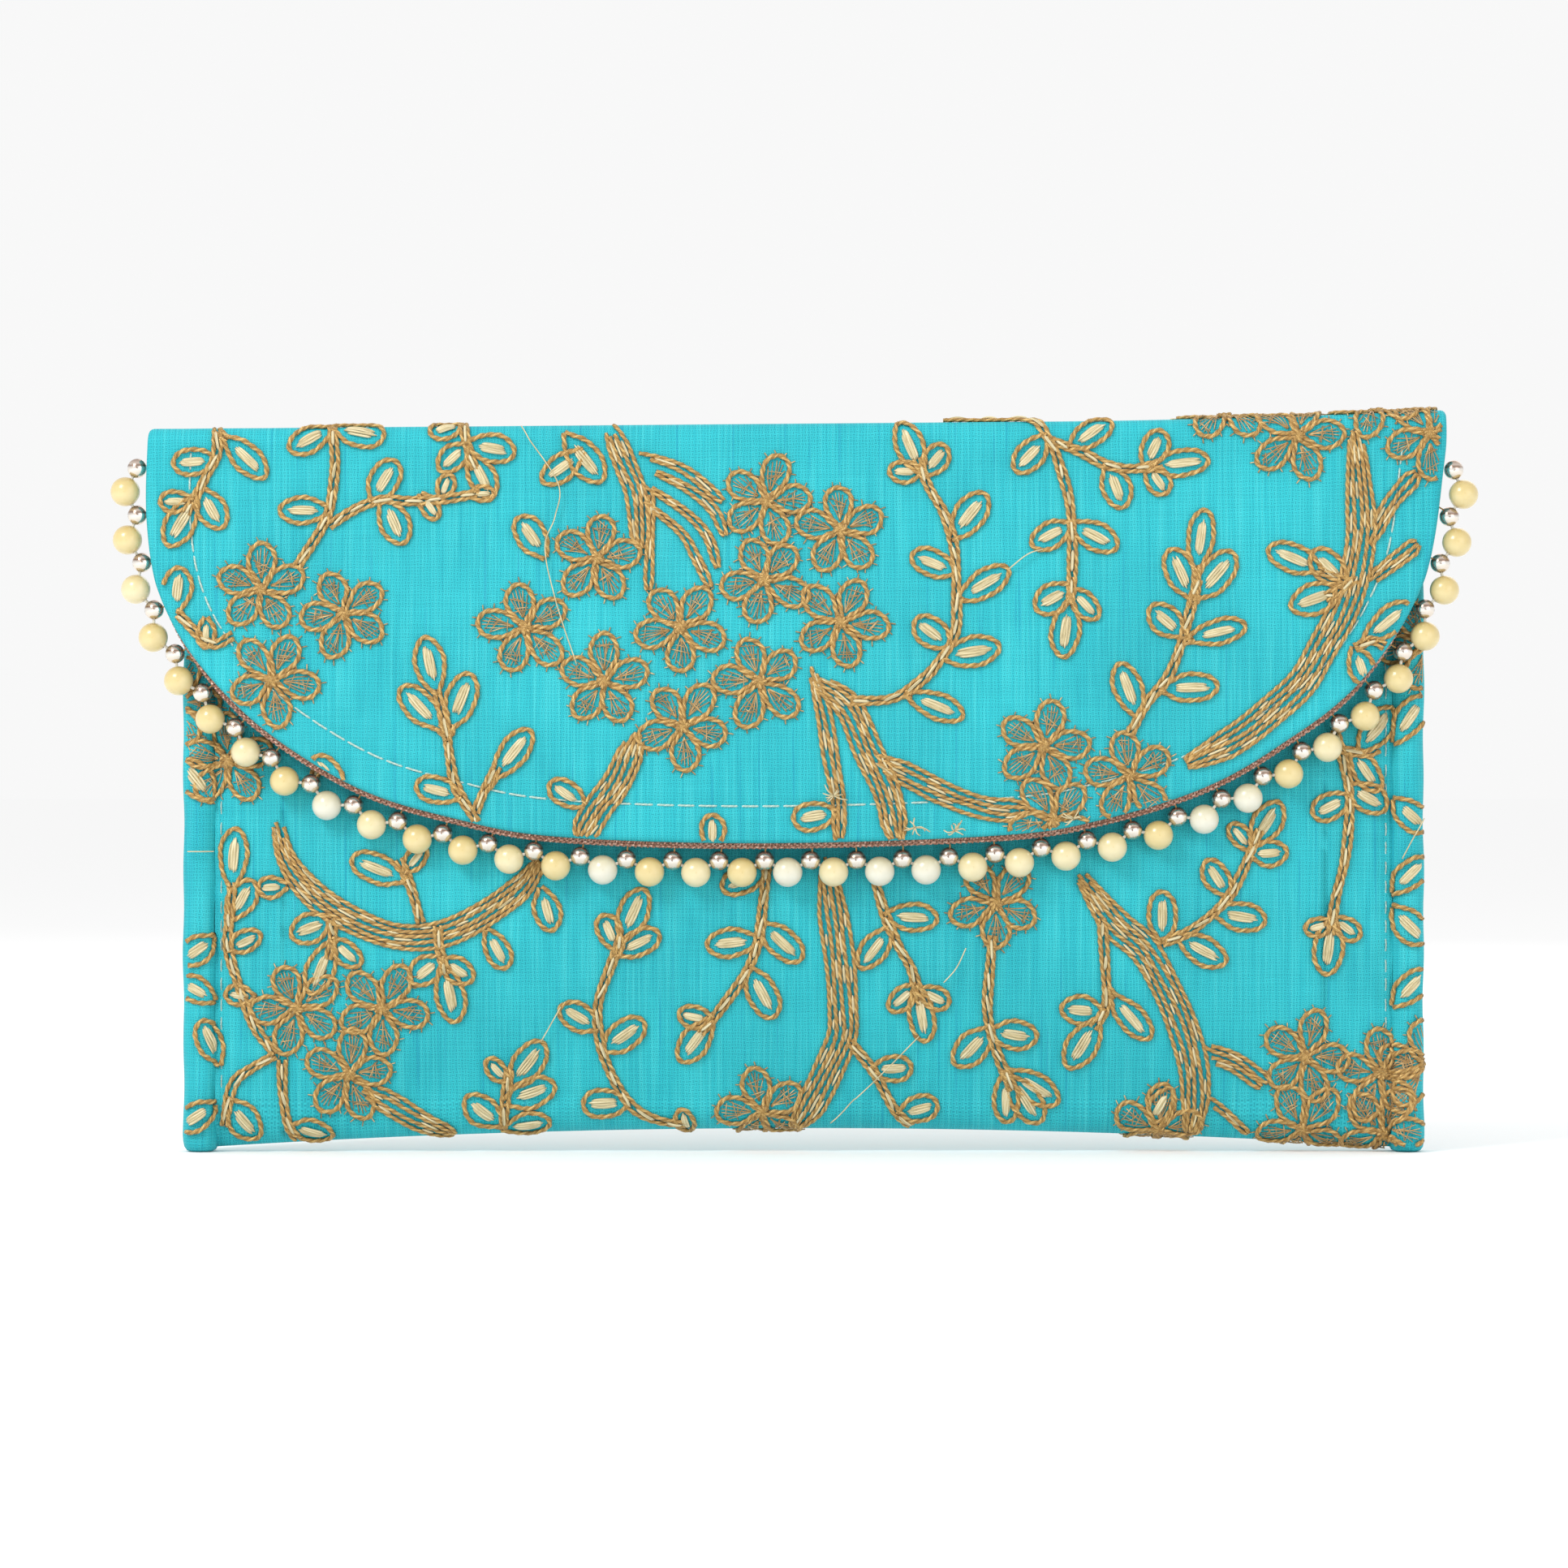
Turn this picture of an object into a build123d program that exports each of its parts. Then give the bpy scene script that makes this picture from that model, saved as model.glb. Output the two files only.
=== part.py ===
from build123d import *

import math
import os

# Clutch purse: a folded pouch with rolled side hems, a scalloped flap on a top fold,
# a magnetic snap under the flap and an edging of pearls and metal beads.
# Millimetres. +Z is up, the front looks along -Y, the purse stands on its two lower corners.

# Pouch
POUCH_WIDTH = 254.0
POUCH_HEIGHT = 148.6
HEM_WIDTH = 6.9
HEM_HALF_DEPTH = 4.0
FOOT_FRONT = 6.6
FOOT_BACK = 4.6
FOOT_HEIGHT = 11.0
HEM_ROUND = 1.9
LAYER_GAP = 0.1
PANEL_HALF = POUCH_WIDTH / 2 - HEM_WIDTH - LAYER_GAP
PANEL_BOTTOM = 11.0
FRONT_TOP = 144.6
ARCH_RISE = 4.2

# Layers of the wall, from the outside in
CLOTH = 0.8
STIFFENER = 1.2
LINING = 0.5
WALL = CLOTH + STIFFENER + LINING + 2 * LAYER_GAP

# Top fold and flap
FOLD_THICK = 2.4
FOLD_FRONT = 9.9
HINGE_GAP = 0.4
BACK_TOP = POUCH_HEIGHT - FOLD_THICK - HINGE_GAP
FLAP_STIFFENER = 0.8
FLAP_CHORD_HALF = 140.0
FLAP_LAYER_INSET = 2.0

# Edging
PEARL_DIAMETER = 6.0
BEAD_DIAMETER = 4.0
PEARL_COUNT = 37
PEARL_DROP = 6.0
BEAD_DROP = 3.6
STRING_START = 9.0
THREAD_DIAMETER = 0.6
PEARL_BORE = 1.2
BEAD_BORE = 1.0
BORE_PAST = 0.3
TAPE_WIDTH = 7.0
TAPE_SHOWS = 1.5
TAPE_THICK = 0.8

# Magnetic snap
SNAP_DIAMETER = 14.0
SNAP_HEIGHT = 82.0
SOCKET_THICK = 2.4
SOCKET_BORE = 6.4
SOCKET_WALL = 0.8
NECK_DIAMETER = 3.0
STUD_THICK = 1.1
STUD_PIN_DIAMETER = 4.6
STUD_PIN_LENGTH = 1.6
WASHER_DIAMETER = 11.0
WASHER_THICK = 0.8

# Height, then how far the middle of each wall bows out past its side edges
POUCH_BOW = [
    (PANEL_BOTTOM, 1.0, 0.8),
    (24.0, 3.9, 2.9),
    (48.0, 7.2, 5.6),
    (82.0, 7.7, 6.2),
    (112.0, 5.6, 4.3),
    (132.0, 3.8, 1.6),
    (FRONT_TOP, 3.0, 0.4),
]
# Height, then how far the flap's inner face stands before the hems' middle, at its sides and middle
FLAP_STAND = [
    (55.0, 5.2, 15.6),
    (70.0, 5.2, 15.9),
    (82.0, 5.2, 15.9),
    (92.0, 5.3, 15.5),
    (106.0, 5.8, 14.0),
    (126.0, 6.6, 10.4),
    (BACK_TOP, 7.5, 7.8),
]
# Cut edge of the flap, from the left end of the fold to the right, as (across, up)
FLAP_OUTLINE = [
    (-132.0, POUCH_HEIGHT),
    (-132.4, 130.0),
    (-130.0, 114.4),
    (-123.5, 101.0),
    (-111.0, 87.3),
    (-91.0, 74.7),
    (-71.0, 68.4),
    (-50.0, 64.7),
    (-8.0, 63.4),
    (40.3, 65.0),
    (61.2, 68.3),
    (81.3, 74.6),
    (97.0, 83.4),
    (112.5, 95.6),
    (124.9, 116.0),
    (129.0, 138.0),
    (129.4, POUCH_HEIGHT),
]

# The origin is under the middle of the whole purse's box, edging included
CENTRE_X = 2.0
CENTRE_Y = 4.05

LEFT = -1
RIGHT = 1
FRONT = -1
BACK = 1

os.makedirs("parts", exist_ok=True)


def save(part, name):
    part.label = name
    export_step(part, f"parts/{name}.step")


def level(height):
    """Horizontal plane at a height, centred on the hems."""
    return Plane((CENTRE_X, CENTRE_Y, height))


def upright(across=0.0, forward=0.0, up=0.0):
    """Plane facing the front, a distance before the hems' middle."""
    return Plane(
        origin=(CENTRE_X + across, CENTRE_Y - forward, up), x_dir=(1, 0, 0), z_dir=(0, -1, 0)
    )


def blend_table(table, height, column):
    """Value of a column at a height, in between the rows of a table."""
    if height <= table[0][0]:
        return table[0][column]
    for low, high in zip(table, table[1:]):
        if height <= high[0]:
            share = (height - low[0]) / (high[0] - low[0])
            return low[column] + (high[column] - low[column]) * share
    return table[-1][column]


def bowed_strip(height, half, side, middle, thick):
    """Horizontal section of a bowed sheet; thick is signed, towards the inside."""
    with BuildSketch(level(height)) as strip:
        with BuildLine():
            ThreePointArc((-half, side), (0, middle), (half, side))
            Line((half, side), (half, side + thick))
            ThreePointArc((half, side + thick), (0, middle + thick), (-half, side + thick))
            Line((-half, side + thick), (-half, side))
        make_face()
    return strip.sketch


def wall_sections(face, depth, thick, half, top):
    """Sections of one layer of the front or back wall, a depth in from its outer face."""
    column = 1 if face == FRONT else 2
    sections = []
    for row in POUCH_BOW[:-1] + [(top, *POUCH_BOW[-1][1:])]:
        side = face * (HEM_HALF_DEPTH - depth)
        sections.append(bowed_strip(row[0], half, side, side + face * row[column], -face * thick))
    return sections


def flap_sections(depth, thick):
    """Sections of one layer of the flap, a depth out from its inner face."""
    sections = []
    for height, side, middle in FLAP_STAND:
        sections.append(
            bowed_strip(height, FLAP_CHORD_HALF, -side - depth, -middle - depth, -thick)
        )
    return sections


def gutter_section(across, inset, thick):
    """Upright section of the bottom fold: a U that is wider and higher in the middle."""
    share = 1 - (across / (POUCH_WIDTH / 2)) ** 2
    front = HEM_HALF_DEPTH - inset + POUCH_BOW[0][1] * share
    back = HEM_HALF_DEPTH - inset + POUCH_BOW[0][2] * share
    low = 0.6 + inset + ARCH_RISE * share
    top = PANEL_BOTTOM - LAYER_GAP
    turn = low + (front + back) / 2
    middle = (back - front) / 2
    section_plane = Plane(
        origin=(CENTRE_X + across, CENTRE_Y, 0), x_dir=(0, 1, 0), z_dir=(1, 0, 0)
    )
    with BuildSketch(section_plane) as gutter:
        with BuildLine():
            Line((-front, top), (-front, turn))
            ThreePointArc((-front, turn), (middle, low), (back, turn))
            Line((back, turn), (back, top))
            Line((back, top), (back - thick, top))
            Line((back - thick, top), (back - thick, turn))
            ThreePointArc((back - thick, turn), (middle, low + thick), (thick - front, turn))
            Line((thick - front, turn), (thick - front, top))
            Line((thick - front, top), (-front, top))
        make_face()
    return gutter.sketch


def front_face(across, height):
    """How far the front panel's outer face stands before the hems' middle."""
    bow = blend_table(POUCH_BOW, height, 1)
    return HEM_HALF_DEPTH + bow * (1 - (across / PANEL_HALF) ** 2)


def flap_inside(across, height):
    """How far the flap's inner face stands before the hems' middle."""
    side = blend_table(FLAP_STAND, height, 1)
    middle = blend_table(FLAP_STAND, height, 2)
    return side + (middle - side) * (1 - (across / FLAP_CHORD_HALF) ** 2)


def outline_points(inset):
    """The flap's outline moved inwards, each point square to its two neighbours."""
    last = len(FLAP_OUTLINE) - 1
    points = []
    for index, (across, up) in enumerate(FLAP_OUTLINE):
        before = FLAP_OUTLINE[max(index - 1, 0)]
        after = FLAP_OUTLINE[min(index + 1, last)]
        run = math.hypot(after[0] - before[0], after[1] - before[1])
        in_across = -(after[1] - before[1]) / run
        in_up = (after[0] - before[0]) / run
        points.append((across + in_across * inset, up + in_up * inset))
    return points


def outline_face(inset):
    """The flap's cut shape, or a layer's shape a little inside it."""
    points = outline_points(inset)
    with BuildSketch(upright()) as shape:
        with BuildLine():
            Spline(*points)
            Line(points[-1], points[0])
        make_face()
    return shape.sketch


# ---------------------------------------------------------------- pouch: cloth
with BuildPart() as front_panel:
    loft(sections=wall_sections(FRONT, 0, CLOTH, PANEL_HALF, FRONT_TOP))
    with Locations(upright(0, front_face(0, SNAP_HEIGHT), SNAP_HEIGHT)):
        Cylinder(NECK_DIAMETER / 2 + 0.3, 6 * CLOTH, mode=Mode.SUBTRACT)
save(front_panel.part, "front_panel")

with BuildPart() as back_panel:
    loft(sections=wall_sections(BACK, 0, CLOTH, PANEL_HALF, BACK_TOP))
save(back_panel.part, "back_panel")

GUTTER_STATIONS = [-1.0, -0.5, 0.0, 0.5, 1.0]
with BuildPart() as bottom_fold:
    loft(sections=[gutter_section(PANEL_HALF * s, 0, CLOTH) for s in GUTTER_STATIONS])
save(bottom_fold.part, "bottom_fold")


def hem_section(height, front, back):
    with BuildSketch(level(height)) as section:
        with Locations((0, (back - front) / 2)):
            RectangleRounded(HEM_WIDTH, front + back, HEM_ROUND)
    return section.sketch


def side_hem(side):
    """Rolled side hem: the panels' edges turned round each other, thick at its foot."""
    sections = [
        hem_section(0, FOOT_FRONT - 0.5, FOOT_BACK - 0.5),
        hem_section(FOOT_HEIGHT * 0.4, FOOT_FRONT, FOOT_BACK),
        hem_section(FOOT_HEIGHT, FOOT_FRONT - 0.8, FOOT_BACK),
        hem_section(FOOT_HEIGHT * 3, HEM_HALF_DEPTH + 0.4, HEM_HALF_DEPTH + 0.1),
        hem_section(POUCH_HEIGHT * 0.6, HEM_HALF_DEPTH, HEM_HALF_DEPTH),
        hem_section(BACK_TOP, HEM_HALF_DEPTH, HEM_HALF_DEPTH),
    ]
    shift = side * (POUCH_WIDTH - HEM_WIDTH) / 2
    return [Pos(shift, 0, 0) * section for section in sections]


for side, word in ((LEFT, "left"), (RIGHT, "right")):
    with BuildPart() as hem:
        loft(sections=side_hem(side), ruled=True)
    save(hem.part, f"side_hem_{word}")

# ---------------------------------------------------------------- pouch: inside layers
DEPTH_STIFFENER = CLOTH + LAYER_GAP
DEPTH_LINING = DEPTH_STIFFENER + STIFFENER + LAYER_GAP

with BuildPart() as front_stiffener:
    loft(sections=wall_sections(FRONT, DEPTH_STIFFENER, STIFFENER, PANEL_HALF - 1, FRONT_TOP - 1.5))
    with Locations(upright(0, front_face(0, SNAP_HEIGHT), SNAP_HEIGHT)):
        Cylinder(WASHER_DIAMETER / 2 + 0.4, 8.0, mode=Mode.SUBTRACT)
save(front_stiffener.part, "front_stiffener")

with BuildPart() as back_stiffener:
    loft(sections=wall_sections(BACK, DEPTH_STIFFENER, STIFFENER, PANEL_HALF - 1, BACK_TOP - 1))
save(back_stiffener.part, "back_stiffener")

with BuildPart() as lining_front:
    loft(sections=wall_sections(FRONT, DEPTH_LINING, LINING, PANEL_HALF - 0.5, FRONT_TOP))
save(lining_front.part, "lining_front")

with BuildPart() as lining_back:
    loft(sections=wall_sections(BACK, DEPTH_LINING, LINING, PANEL_HALF - 0.5, BACK_TOP))
save(lining_back.part, "lining_back")

with BuildPart() as lining_bottom:
    loft(
        sections=[
            gutter_section((PANEL_HALF - 0.5) * s, DEPTH_LINING, LINING) for s in GUTTER_STATIONS
        ]
    )
save(lining_bottom.part, "lining_bottom")

# ---------------------------------------------------------------- top fold
FOLD_LINING = LINING
FOLD_CLOTH = FOLD_THICK - FOLD_LINING - LAYER_GAP
FOLD_LEFT = FLAP_OUTLINE[0][0]
FOLD_RIGHT = FLAP_OUTLINE[-1][0]
FOLD_MIDDLE_Y = (HEM_HALF_DEPTH - FOLD_FRONT) / 2
FOLD_DEPTH = HEM_HALF_DEPTH + FOLD_FRONT

with BuildPart() as top_fold:
    with BuildSketch(level(POUCH_HEIGHT)):
        with Locations(((FOLD_LEFT + FOLD_RIGHT) / 2, FOLD_MIDDLE_Y)):
            Rectangle(FOLD_RIGHT - FOLD_LEFT, FOLD_DEPTH)
    extrude(amount=-FOLD_CLOTH)
save(top_fold.part, "top_fold")

with BuildPart() as top_fold_lining:
    with BuildSketch(level(POUCH_HEIGHT - FOLD_CLOTH - LAYER_GAP)):
        with Locations(((FOLD_LEFT + FOLD_RIGHT) / 2, FOLD_MIDDLE_Y)):
            Rectangle(FOLD_RIGHT - FOLD_LEFT - 2, FOLD_DEPTH - 1)
    extrude(amount=-FOLD_LINING)
save(top_fold_lining.part, "top_fold_lining")

# ---------------------------------------------------------------- flap
SNAP_FLAP_INSIDE = flap_inside(0, SNAP_HEIGHT)
FLAP_DEPTH_STIFFENER = LINING + LAYER_GAP
FLAP_DEPTH_CLOTH = FLAP_DEPTH_STIFFENER + FLAP_STIFFENER + LAYER_GAP
FLAP_CUT = 60.0

with BuildPart() as flap_panel:
    loft(sections=flap_sections(FLAP_DEPTH_CLOTH, CLOTH))
    extrude(outline_face(0), amount=FLAP_CUT, both=True, mode=Mode.INTERSECT)
save(flap_panel.part, "flap_panel")

with BuildPart() as flap_stiffener:
    loft(sections=flap_sections(FLAP_DEPTH_STIFFENER, FLAP_STIFFENER))
    extrude(outline_face(FLAP_LAYER_INSET), amount=FLAP_CUT, both=True, mode=Mode.INTERSECT)
    with Locations(upright(0, SNAP_FLAP_INSIDE, SNAP_HEIGHT)):
        Cylinder(WASHER_DIAMETER / 2 + 0.4, 10.0, mode=Mode.SUBTRACT)
save(flap_stiffener.part, "flap_stiffener")

with BuildPart() as flap_lining:
    loft(sections=flap_sections(0, LINING))
    extrude(outline_face(FLAP_LAYER_INSET / 2), amount=FLAP_CUT, both=True, mode=Mode.INTERSECT)
    with Locations(upright(0, SNAP_FLAP_INSIDE, SNAP_HEIGHT)):
        Cylinder(NECK_DIAMETER / 2 + 0.2, 4.0, mode=Mode.SUBTRACT)
save(flap_lining.part, "flap_lining")

with BuildPart() as lace_tape:
    loft(sections=flap_sections(-LAYER_GAP - TAPE_THICK, TAPE_THICK))
    extrude(outline_face(-TAPE_SHOWS), amount=FLAP_CUT, both=True, mode=Mode.INTERSECT)
    extrude(outline_face(TAPE_WIDTH - TAPE_SHOWS), amount=FLAP_CUT, both=True, mode=Mode.SUBTRACT)
    with BuildSketch(level(POUCH_HEIGHT)):
        Rectangle(3 * POUCH_WIDTH, FLAP_CUT)
    extrude(amount=-(POUCH_HEIGHT - BACK_TOP + 3), mode=Mode.SUBTRACT)
save(lace_tape.part, "lace_tape")

# ---------------------------------------------------------------- edging
with BuildLine(upright()) as edge:
    Spline(*FLAP_OUTLINE)
EDGE = edge.wires()[0]


def edging_point(run, drop):
    """A point of the edging: a run along the flap's edge, then a drop outside it."""
    on_edge = EDGE.position_at(run, position_mode=PositionMode.LENGTH)
    along = EDGE.tangent_at(run, position_mode=PositionMode.LENGTH)
    outward = Vector(along.Z, 0, -along.X)
    spot = on_edge + outward * drop
    forward = flap_inside(spot.X - CENTRE_X, spot.Z) - LAYER_GAP - TAPE_THICK / 2
    return Vector(spot.X, CENTRE_Y - forward, spot.Z)


STEP = (EDGE.length - 2 * STRING_START) / (2 * PEARL_COUNT)
print("pearl pitch along the edge", round(2 * STEP, 2))
string_points = []
for index in range(2 * PEARL_COUNT + 1):
    is_bead = index % 2 == 0
    string_points.append(
        edging_point(STRING_START + index * STEP, BEAD_DROP if is_bead else PEARL_DROP)
    )


def between(start, end, diameter, inset=0.0):
    """A thread or a bore along the line from start to end, kept an inset off both ends."""
    direction = (end - start).normalized()
    plane = Plane(start + direction * inset, z_dir=direction)
    with BuildPart(mode=Mode.PRIVATE) as run:
        with BuildSketch(plane):
            Circle(diameter / 2)
        extrude(amount=(end - start).length - 2 * inset)
    return run.part


def drilled_ball(index, diameter, bore):
    """A bead on the string, bored towards both of its neighbours."""
    centre = string_points[index]
    before = string_points[max(index - 1, 0)]
    after = string_points[min(index + 1, len(string_points) - 1)]
    aside = (after - before).cross(Vector(0, 1, 0)) * (1 if index % 2 else -1)
    with BuildPart(mode=Mode.PRIVATE) as ball:
        with Locations(Plane(centre, x_dir=aside, z_dir=(0, 1, 0))):
            Sphere(diameter / 2)
        for neighbour in (index - 1, index + 1):
            if 0 <= neighbour < len(string_points):
                direction = (string_points[neighbour] - centre).normalized()
                mouth = centre + direction * (diameter / 2 + BORE_PAST)
                add(between(centre, mouth, bore), mode=Mode.SUBTRACT)
    return ball.part


for number in range(PEARL_COUNT):
    with BuildPart() as pearl:
        add(drilled_ball(2 * number + 1, PEARL_DIAMETER, PEARL_BORE))
    save(pearl.part, f"pearl_{number + 1:02d}")

with BuildPart() as silver_beads:
    for number in range(PEARL_COUNT + 1):
        add(drilled_ball(2 * number, BEAD_DIAMETER, BEAD_BORE))
save(silver_beads.part, "silver_beads")

with BuildPart() as bead_thread:
    for start, end in zip(string_points, string_points[1:]):
        add(between(start, end, THREAD_DIAMETER, THREAD_DIAMETER))
save(bead_thread.part, "bead_thread")

# ---------------------------------------------------------------- magnetic snap
FACE = front_face(0, SNAP_HEIGHT)
SOCKET_BACK = FACE + 0.3

# Brass cup with a round well for the stud's pin and a neck riveted through the cloth
with BuildPart() as snap_socket:
    with BuildSketch(upright(0, SOCKET_BACK, SNAP_HEIGHT)):
        Circle(SNAP_DIAMETER / 2)
    extrude(amount=SOCKET_THICK)
    fillet(snap_socket.edges().filter_by(GeomType.CIRCLE).sort_by(Axis.Y)[0], 0.4)
    with BuildSketch(upright(0, SOCKET_BACK + SOCKET_THICK, SNAP_HEIGHT)):
        Circle(SNAP_DIAMETER / 2 - SOCKET_WALL)
    extrude(amount=-(SOCKET_THICK - SOCKET_WALL / 2), mode=Mode.SUBTRACT)
    with BuildSketch(upright(0, SOCKET_BACK, SNAP_HEIGHT)):
        Circle(NECK_DIAMETER / 2)
    extrude(amount=-(CLOTH + WASHER_THICK + 0.5))
save(snap_socket.part, "snap_socket")

MAGNET_THICK = SOCKET_THICK - SOCKET_WALL / 2 - 0.2
with BuildPart() as snap_magnet:
    with BuildSketch(upright(0, SOCKET_BACK + SOCKET_WALL / 2 + 0.1, SNAP_HEIGHT)):
        Circle(SNAP_DIAMETER / 2 - SOCKET_WALL - 0.1)
        Circle(SOCKET_BORE / 2, mode=Mode.SUBTRACT)
    extrude(amount=MAGNET_THICK)
save(snap_magnet.part, "snap_magnet")

with BuildPart() as snap_socket_washer:
    with BuildSketch(upright(0, FACE - CLOTH - 0.35, SNAP_HEIGHT)):
        Circle(WASHER_DIAMETER / 2)
        Circle(NECK_DIAMETER / 2 + 0.05, mode=Mode.SUBTRACT)
    extrude(amount=-WASHER_THICK)
save(snap_socket_washer.part, "snap_socket_washer")

# Brass stud with a round-nosed pin, riveted through the flap's lining
STUD_TOP = SNAP_FLAP_INSIDE - 0.3
with BuildPart() as snap_stud:
    with BuildSketch(upright(0, STUD_TOP, SNAP_HEIGHT)):
        Circle(SNAP_DIAMETER / 2)
    extrude(amount=-STUD_THICK)
    with BuildSketch(upright(0, STUD_TOP - STUD_THICK, SNAP_HEIGHT)):
        Circle(STUD_PIN_DIAMETER / 2)
    extrude(amount=-STUD_PIN_LENGTH)
    fillet(snap_stud.edges().filter_by(GeomType.CIRCLE).sort_by(Axis.Y)[-1], 0.7)
    with BuildSketch(upright(0, STUD_TOP, SNAP_HEIGHT)):
        Circle(NECK_DIAMETER / 2)
    extrude(amount=LINING + WASHER_THICK + 0.3)
save(snap_stud.part, "snap_stud")

with BuildPart() as snap_stud_washer:
    with BuildSketch(upright(0, SNAP_FLAP_INSIDE + LINING + 0.1, SNAP_HEIGHT)):
        Circle(WASHER_DIAMETER / 2)
        Circle(NECK_DIAMETER / 2 + 0.05, mode=Mode.SUBTRACT)
    extrude(amount=FLAP_STIFFENER - 0.15)
save(snap_stud_washer.part, "snap_stud_washer")
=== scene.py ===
import math
import random

import bpy
import numpy as np
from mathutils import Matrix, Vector


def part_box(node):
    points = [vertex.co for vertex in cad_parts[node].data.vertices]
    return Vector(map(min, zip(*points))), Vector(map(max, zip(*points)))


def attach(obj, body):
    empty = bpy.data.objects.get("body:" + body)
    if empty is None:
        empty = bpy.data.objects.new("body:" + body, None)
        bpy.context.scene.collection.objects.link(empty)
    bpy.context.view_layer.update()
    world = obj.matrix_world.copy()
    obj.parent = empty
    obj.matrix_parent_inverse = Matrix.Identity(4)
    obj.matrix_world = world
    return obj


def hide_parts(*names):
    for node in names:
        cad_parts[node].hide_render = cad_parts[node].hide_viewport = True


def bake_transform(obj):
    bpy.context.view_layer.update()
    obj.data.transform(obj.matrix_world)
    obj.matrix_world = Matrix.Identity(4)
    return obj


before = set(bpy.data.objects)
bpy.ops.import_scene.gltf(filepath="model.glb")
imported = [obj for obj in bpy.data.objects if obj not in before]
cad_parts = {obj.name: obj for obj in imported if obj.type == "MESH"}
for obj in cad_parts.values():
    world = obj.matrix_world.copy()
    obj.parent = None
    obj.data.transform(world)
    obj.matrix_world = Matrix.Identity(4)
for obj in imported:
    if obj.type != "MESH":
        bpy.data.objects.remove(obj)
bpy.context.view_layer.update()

MM = 0.001

# ------------------------------------------------------------------ places, from the frame
# Local measure: millimetres across (+ to the right), forward (+ to the front) and up,
# from the point on the ground under the middle of the side hems.
PANEL_LOW, PANEL_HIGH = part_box("front_panel")
FOLD_LOW, FOLD_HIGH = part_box("top_fold")
CENTRE_X = (PANEL_LOW[0] + PANEL_HIGH[0]) / 2 / MM
FOLD_BACK = 4.0
CENTRE_Y = FOLD_HIGH[1] / MM - FOLD_BACK
HEIGHT = FOLD_HIGH[2] / MM
PANEL_HALF = (PANEL_HIGH[0] - PANEL_LOW[0]) / 2 / MM
MOUTH = PANEL_HIGH[2] / MM
HEM_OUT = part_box("side_hem_right")[1][0] / MM - CENTRE_X
FOLD_FRONT = CENTRE_Y - FOLD_LOW[1] / MM
FOLD_LEFT = FOLD_LOW[0] / MM - CENTRE_X
FOLD_RIGHT = FOLD_HIGH[0] / MM - CENTRE_X

HEM_HALF = 3.6
HEM_MIDDLE = HEM_OUT - 3.45
HEM_HALF_DEPTH = 4.0
FLAP_THICK = 2.3
WALL = 2.7
BOTTOM_TURN = 11.0
FRONT_ROUND = 3.0
BACK_ROUND = 4.5
FOLD_MIDDLE = 1.0


def smooth_curve(rows):
    """A smooth function through rows of (height, value)."""
    heights, values = zip(*rows)
    return np.polynomial.Polynomial.fit(heights, values, min(len(rows) - 1, 5))


FRONT_BOW = smooth_curve(
    [(11, 1.0), (24, 3.9), (48, 7.2), (82, 7.8), (112, 5.6), (132, 3.8), (145, 3.0)]
)
BACK_BOW = smooth_curve(
    [(11, 0.8), (24, 2.9), (48, 5.6), (82, 6.2), (112, 4.3), (132, 1.6), (149, 0.3)]
)
FLAP_MIDDLE = smooth_curve(
    [(55, 15.6), (70, 15.9), (82, 15.9), (92, 15.5), (106, 14.0), (126, 10.4), (146, 7.8)]
)
FLAP_SIDE = smooth_curve([(55, 5.0), (82, 5.2), (106, 5.8), (126, 6.6), (146, 7.5)])
FLAP_CHORD_HALF = 140.0

# The flap's cut edge, from the left end of the fold to the right, as the frame has it
FLAP_OUTLINE = [
    (-132, 148.6), (-132.4, 130), (-130, 114.4), (-123.5, 101), (-111, 87.3), (-91, 74.7),
    (-71, 68.4), (-50, 64.7), (-8, 63.4), (40.3, 65), (61.2, 68.3), (81.3, 74.6), (97, 83.4),
    (112.5, 95.6), (124.9, 116), (129, 138), (129.4, 148.6),
]
LEFT_CORNER, RIGHT_CORNER = (-120, 93), (115, 99)
STITCH_INSET = 7.4


def to_world(points):
    """Local millimetres to metres in the frame."""
    x, forward, z = np.moveaxis(np.asarray(points, float), -1, 0)
    return np.stack([(x + CENTRE_X) * MM, (CENTRE_Y - forward) * MM, z * MM], -1)


def unit(vectors):
    return vectors / (np.linalg.norm(vectors, axis=-1, keepdims=True) + 1e-9)


def eased(share):
    """A share kept between 0 and 1, and eased at both."""
    share = np.clip(share, 0, 1)
    return share * share * (3 - 2 * share)


def arch(count):
    """An arch from 0 up to 1 and back."""
    return np.sin(np.linspace(0, math.pi, count))


def spline(points, step):
    """A smooth line through points (Catmull-Rom), spaced evenly by a step."""
    points = np.asarray(points, float)
    if len(points) == 2:
        points = np.array([points[0], points.mean(0), points[1]])
    ends = np.vstack([2 * points[0] - points[1], points, 2 * points[-1] - points[-2]])
    t = np.linspace(0, 1, 13)[:-1, None]
    runs = []
    for a, b, c, d in zip(ends, ends[1:], ends[2:], ends[3:]):
        square, cube = 2 * a - 5 * b + 4 * c - d, 3 * b - a - 3 * c + d
        runs.append(0.5 * (2 * b + (c - a) * t + square * t**2 + cube * t**3))
    line = np.vstack(runs + [points[-1:]])
    return even(line, step)


def even(line, step):
    """The same line with its points evenly spaced."""
    lengths = np.linalg.norm(np.diff(line, axis=0), axis=1)
    run = np.concatenate([[0], np.cumsum(lengths)])
    count = max(int(round(run[-1] / step)), 2)
    at = np.linspace(0, run[-1], count + 1)
    return np.stack([np.interp(at, run, column) for column in line.T], 1)


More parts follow.
